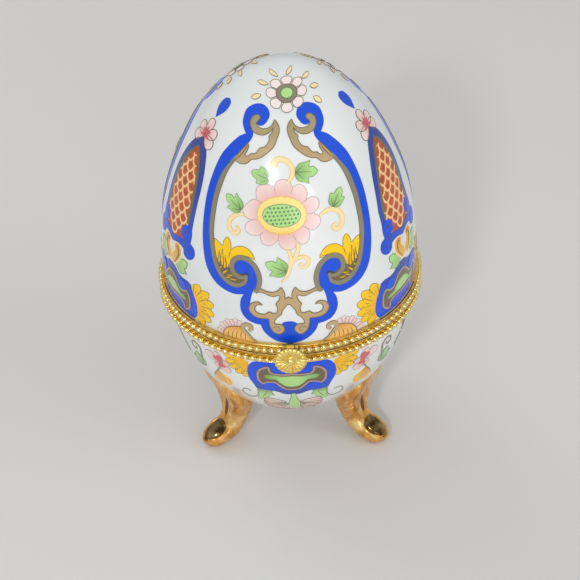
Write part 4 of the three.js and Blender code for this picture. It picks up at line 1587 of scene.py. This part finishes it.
view = {
    "focal": 1250.0,  # pixels
    "frame": 580.0,  # pixels
    "sensor": 36.0,
    "pitch": 38.971,
    "roll": 2.247,
    "yaw": 1.2,
    "distance": 375.06,
    "aim": (-0.28, 0.0, 45.79),
    "near": 10.0,
}


def makeCamera():
    pitch, roll = radians(view["pitch"]), radians(view["roll"])
    forward = Vector((0, cos(pitch), -sin(pitch)))
    right, up = Vector((1, 0, 0)), Vector((0, sin(pitch), cos(pitch)))
    tiltedRight = right * cos(roll) - up * sin(roll)
    tiltedUp = right * sin(roll) + up * cos(roll)
    basis = Matrix((tiltedRight, tiltedUp, -forward)).transposed().to_4x4()
    turn = Matrix.Rotation(radians(view["yaw"]), 4, "Z")
    place = (Vector(view["aim"]) - forward * view["distance"]) * mm
    data = bpy.data.cameras.new("camera")
    data.sensor_width = view["sensor"]
    data.lens = view["focal"] / view["frame"] * view["sensor"]
    data.clip_start = view["near"] * mm
    camera = addObject("camera", data)
    camera.matrix_world = turn @ Matrix.Translation(place) @ basis
    bpy.context.scene.camera = camera


makeCamera()
print("camera placed")


# Floor and studio light, in metres and watts

studio = {
    "floor": "d9d8d5",
    "floorReach": 3.0,
    "world": {"low": 0.36, "high": 0.62, "from": -0.2, "to": 0.9},
    "aim": (0, 0, 0.06),
    "lamps": {
        "key": {"place": (-0.27, -0.9, 0.63), "size": 0.14, "power": 3.4, "glossy": True},
        "fill": {"place": (0.75, -0.3, 0.5), "size": 0.6, "power": 1.5, "glossy": False},
        "rear": {"place": (-0.5, 0.55, 0.7), "size": 0.6, "power": 1.6, "glossy": False},
        "low": {"place": (0.3, -1.05, 0.32), "size": 0.55, "power": 1.3, "glossy": True},
    },
}


def makeFloor():
    mesh = bpy.data.meshes.new("floor")
    reach = studio["floorReach"]
    mesh.from_pydata([(-reach, -reach, 0), (reach, -reach, 0), (reach, reach, 0), (-reach, reach, 0)],
                     [], [(0, 1, 2, 3)])
    material, _, _ = newMaterial("floorPaint", Roughness=0.75, Base_Color=tint(studio["floor"]))
    mesh.materials.append(material)
    addObject("floor", mesh)


def makeLamp(label, lamp):
    data = bpy.data.lights.new(label, "AREA")
    data.shape = "DISK"
    data.size = lamp["size"]
    data.energy = lamp["power"]
    light = addObject(label, data)
    light.location = lamp["place"]
    aim = Vector(studio["aim"]) - Vector(lamp["place"])
    light.rotation_euler = aim.to_track_quat("-Z", "Y").to_euler()
    light.visible_glossy = lamp["glossy"]


def makeWorld():
    # paler overhead than at the horizon
    world = bpy.data.worlds.new("studio")
    world.use_nodes = True
    tree, look = world.node_tree, studio["world"]
    sky = tree.nodes["Background"]
    sky.inputs["Color"].default_value = (1.0, 1.0, 1.0, 1.0)
    place = addNode(tree, "ShaderNodeTexCoord").outputs["Generated"]
    height = addNode(tree, "ShaderNodeSeparateXYZ", [("Vector", place)]).outputs["Z"]
    limits = {"From Min": look["from"], "From Max": look["to"]}
    feed(tree, sky, Strength=ranged(tree, height, look["low"], look["high"], **limits))
    bpy.context.scene.world = world


makeFloor()
for label, lamp in studio["lamps"].items():
    makeLamp(label, lamp)
makeWorld()
bpy.context.scene.view_settings.view_transform = "Standard"
print("stage and lamps set")

for name in ("hinge_knuckle_bowl_left", "hinge_knuckle_bowl_right", "hinge_knuckle_lid", "hinge_pin",
             "catch_stud", "clasp_lug_left", "clasp_lug_right", "clasp_pin", "clasp_tongue"):
    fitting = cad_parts[name].data
    fitting.materials.clear()
    fitting.materials.append(brasses["fittings"])
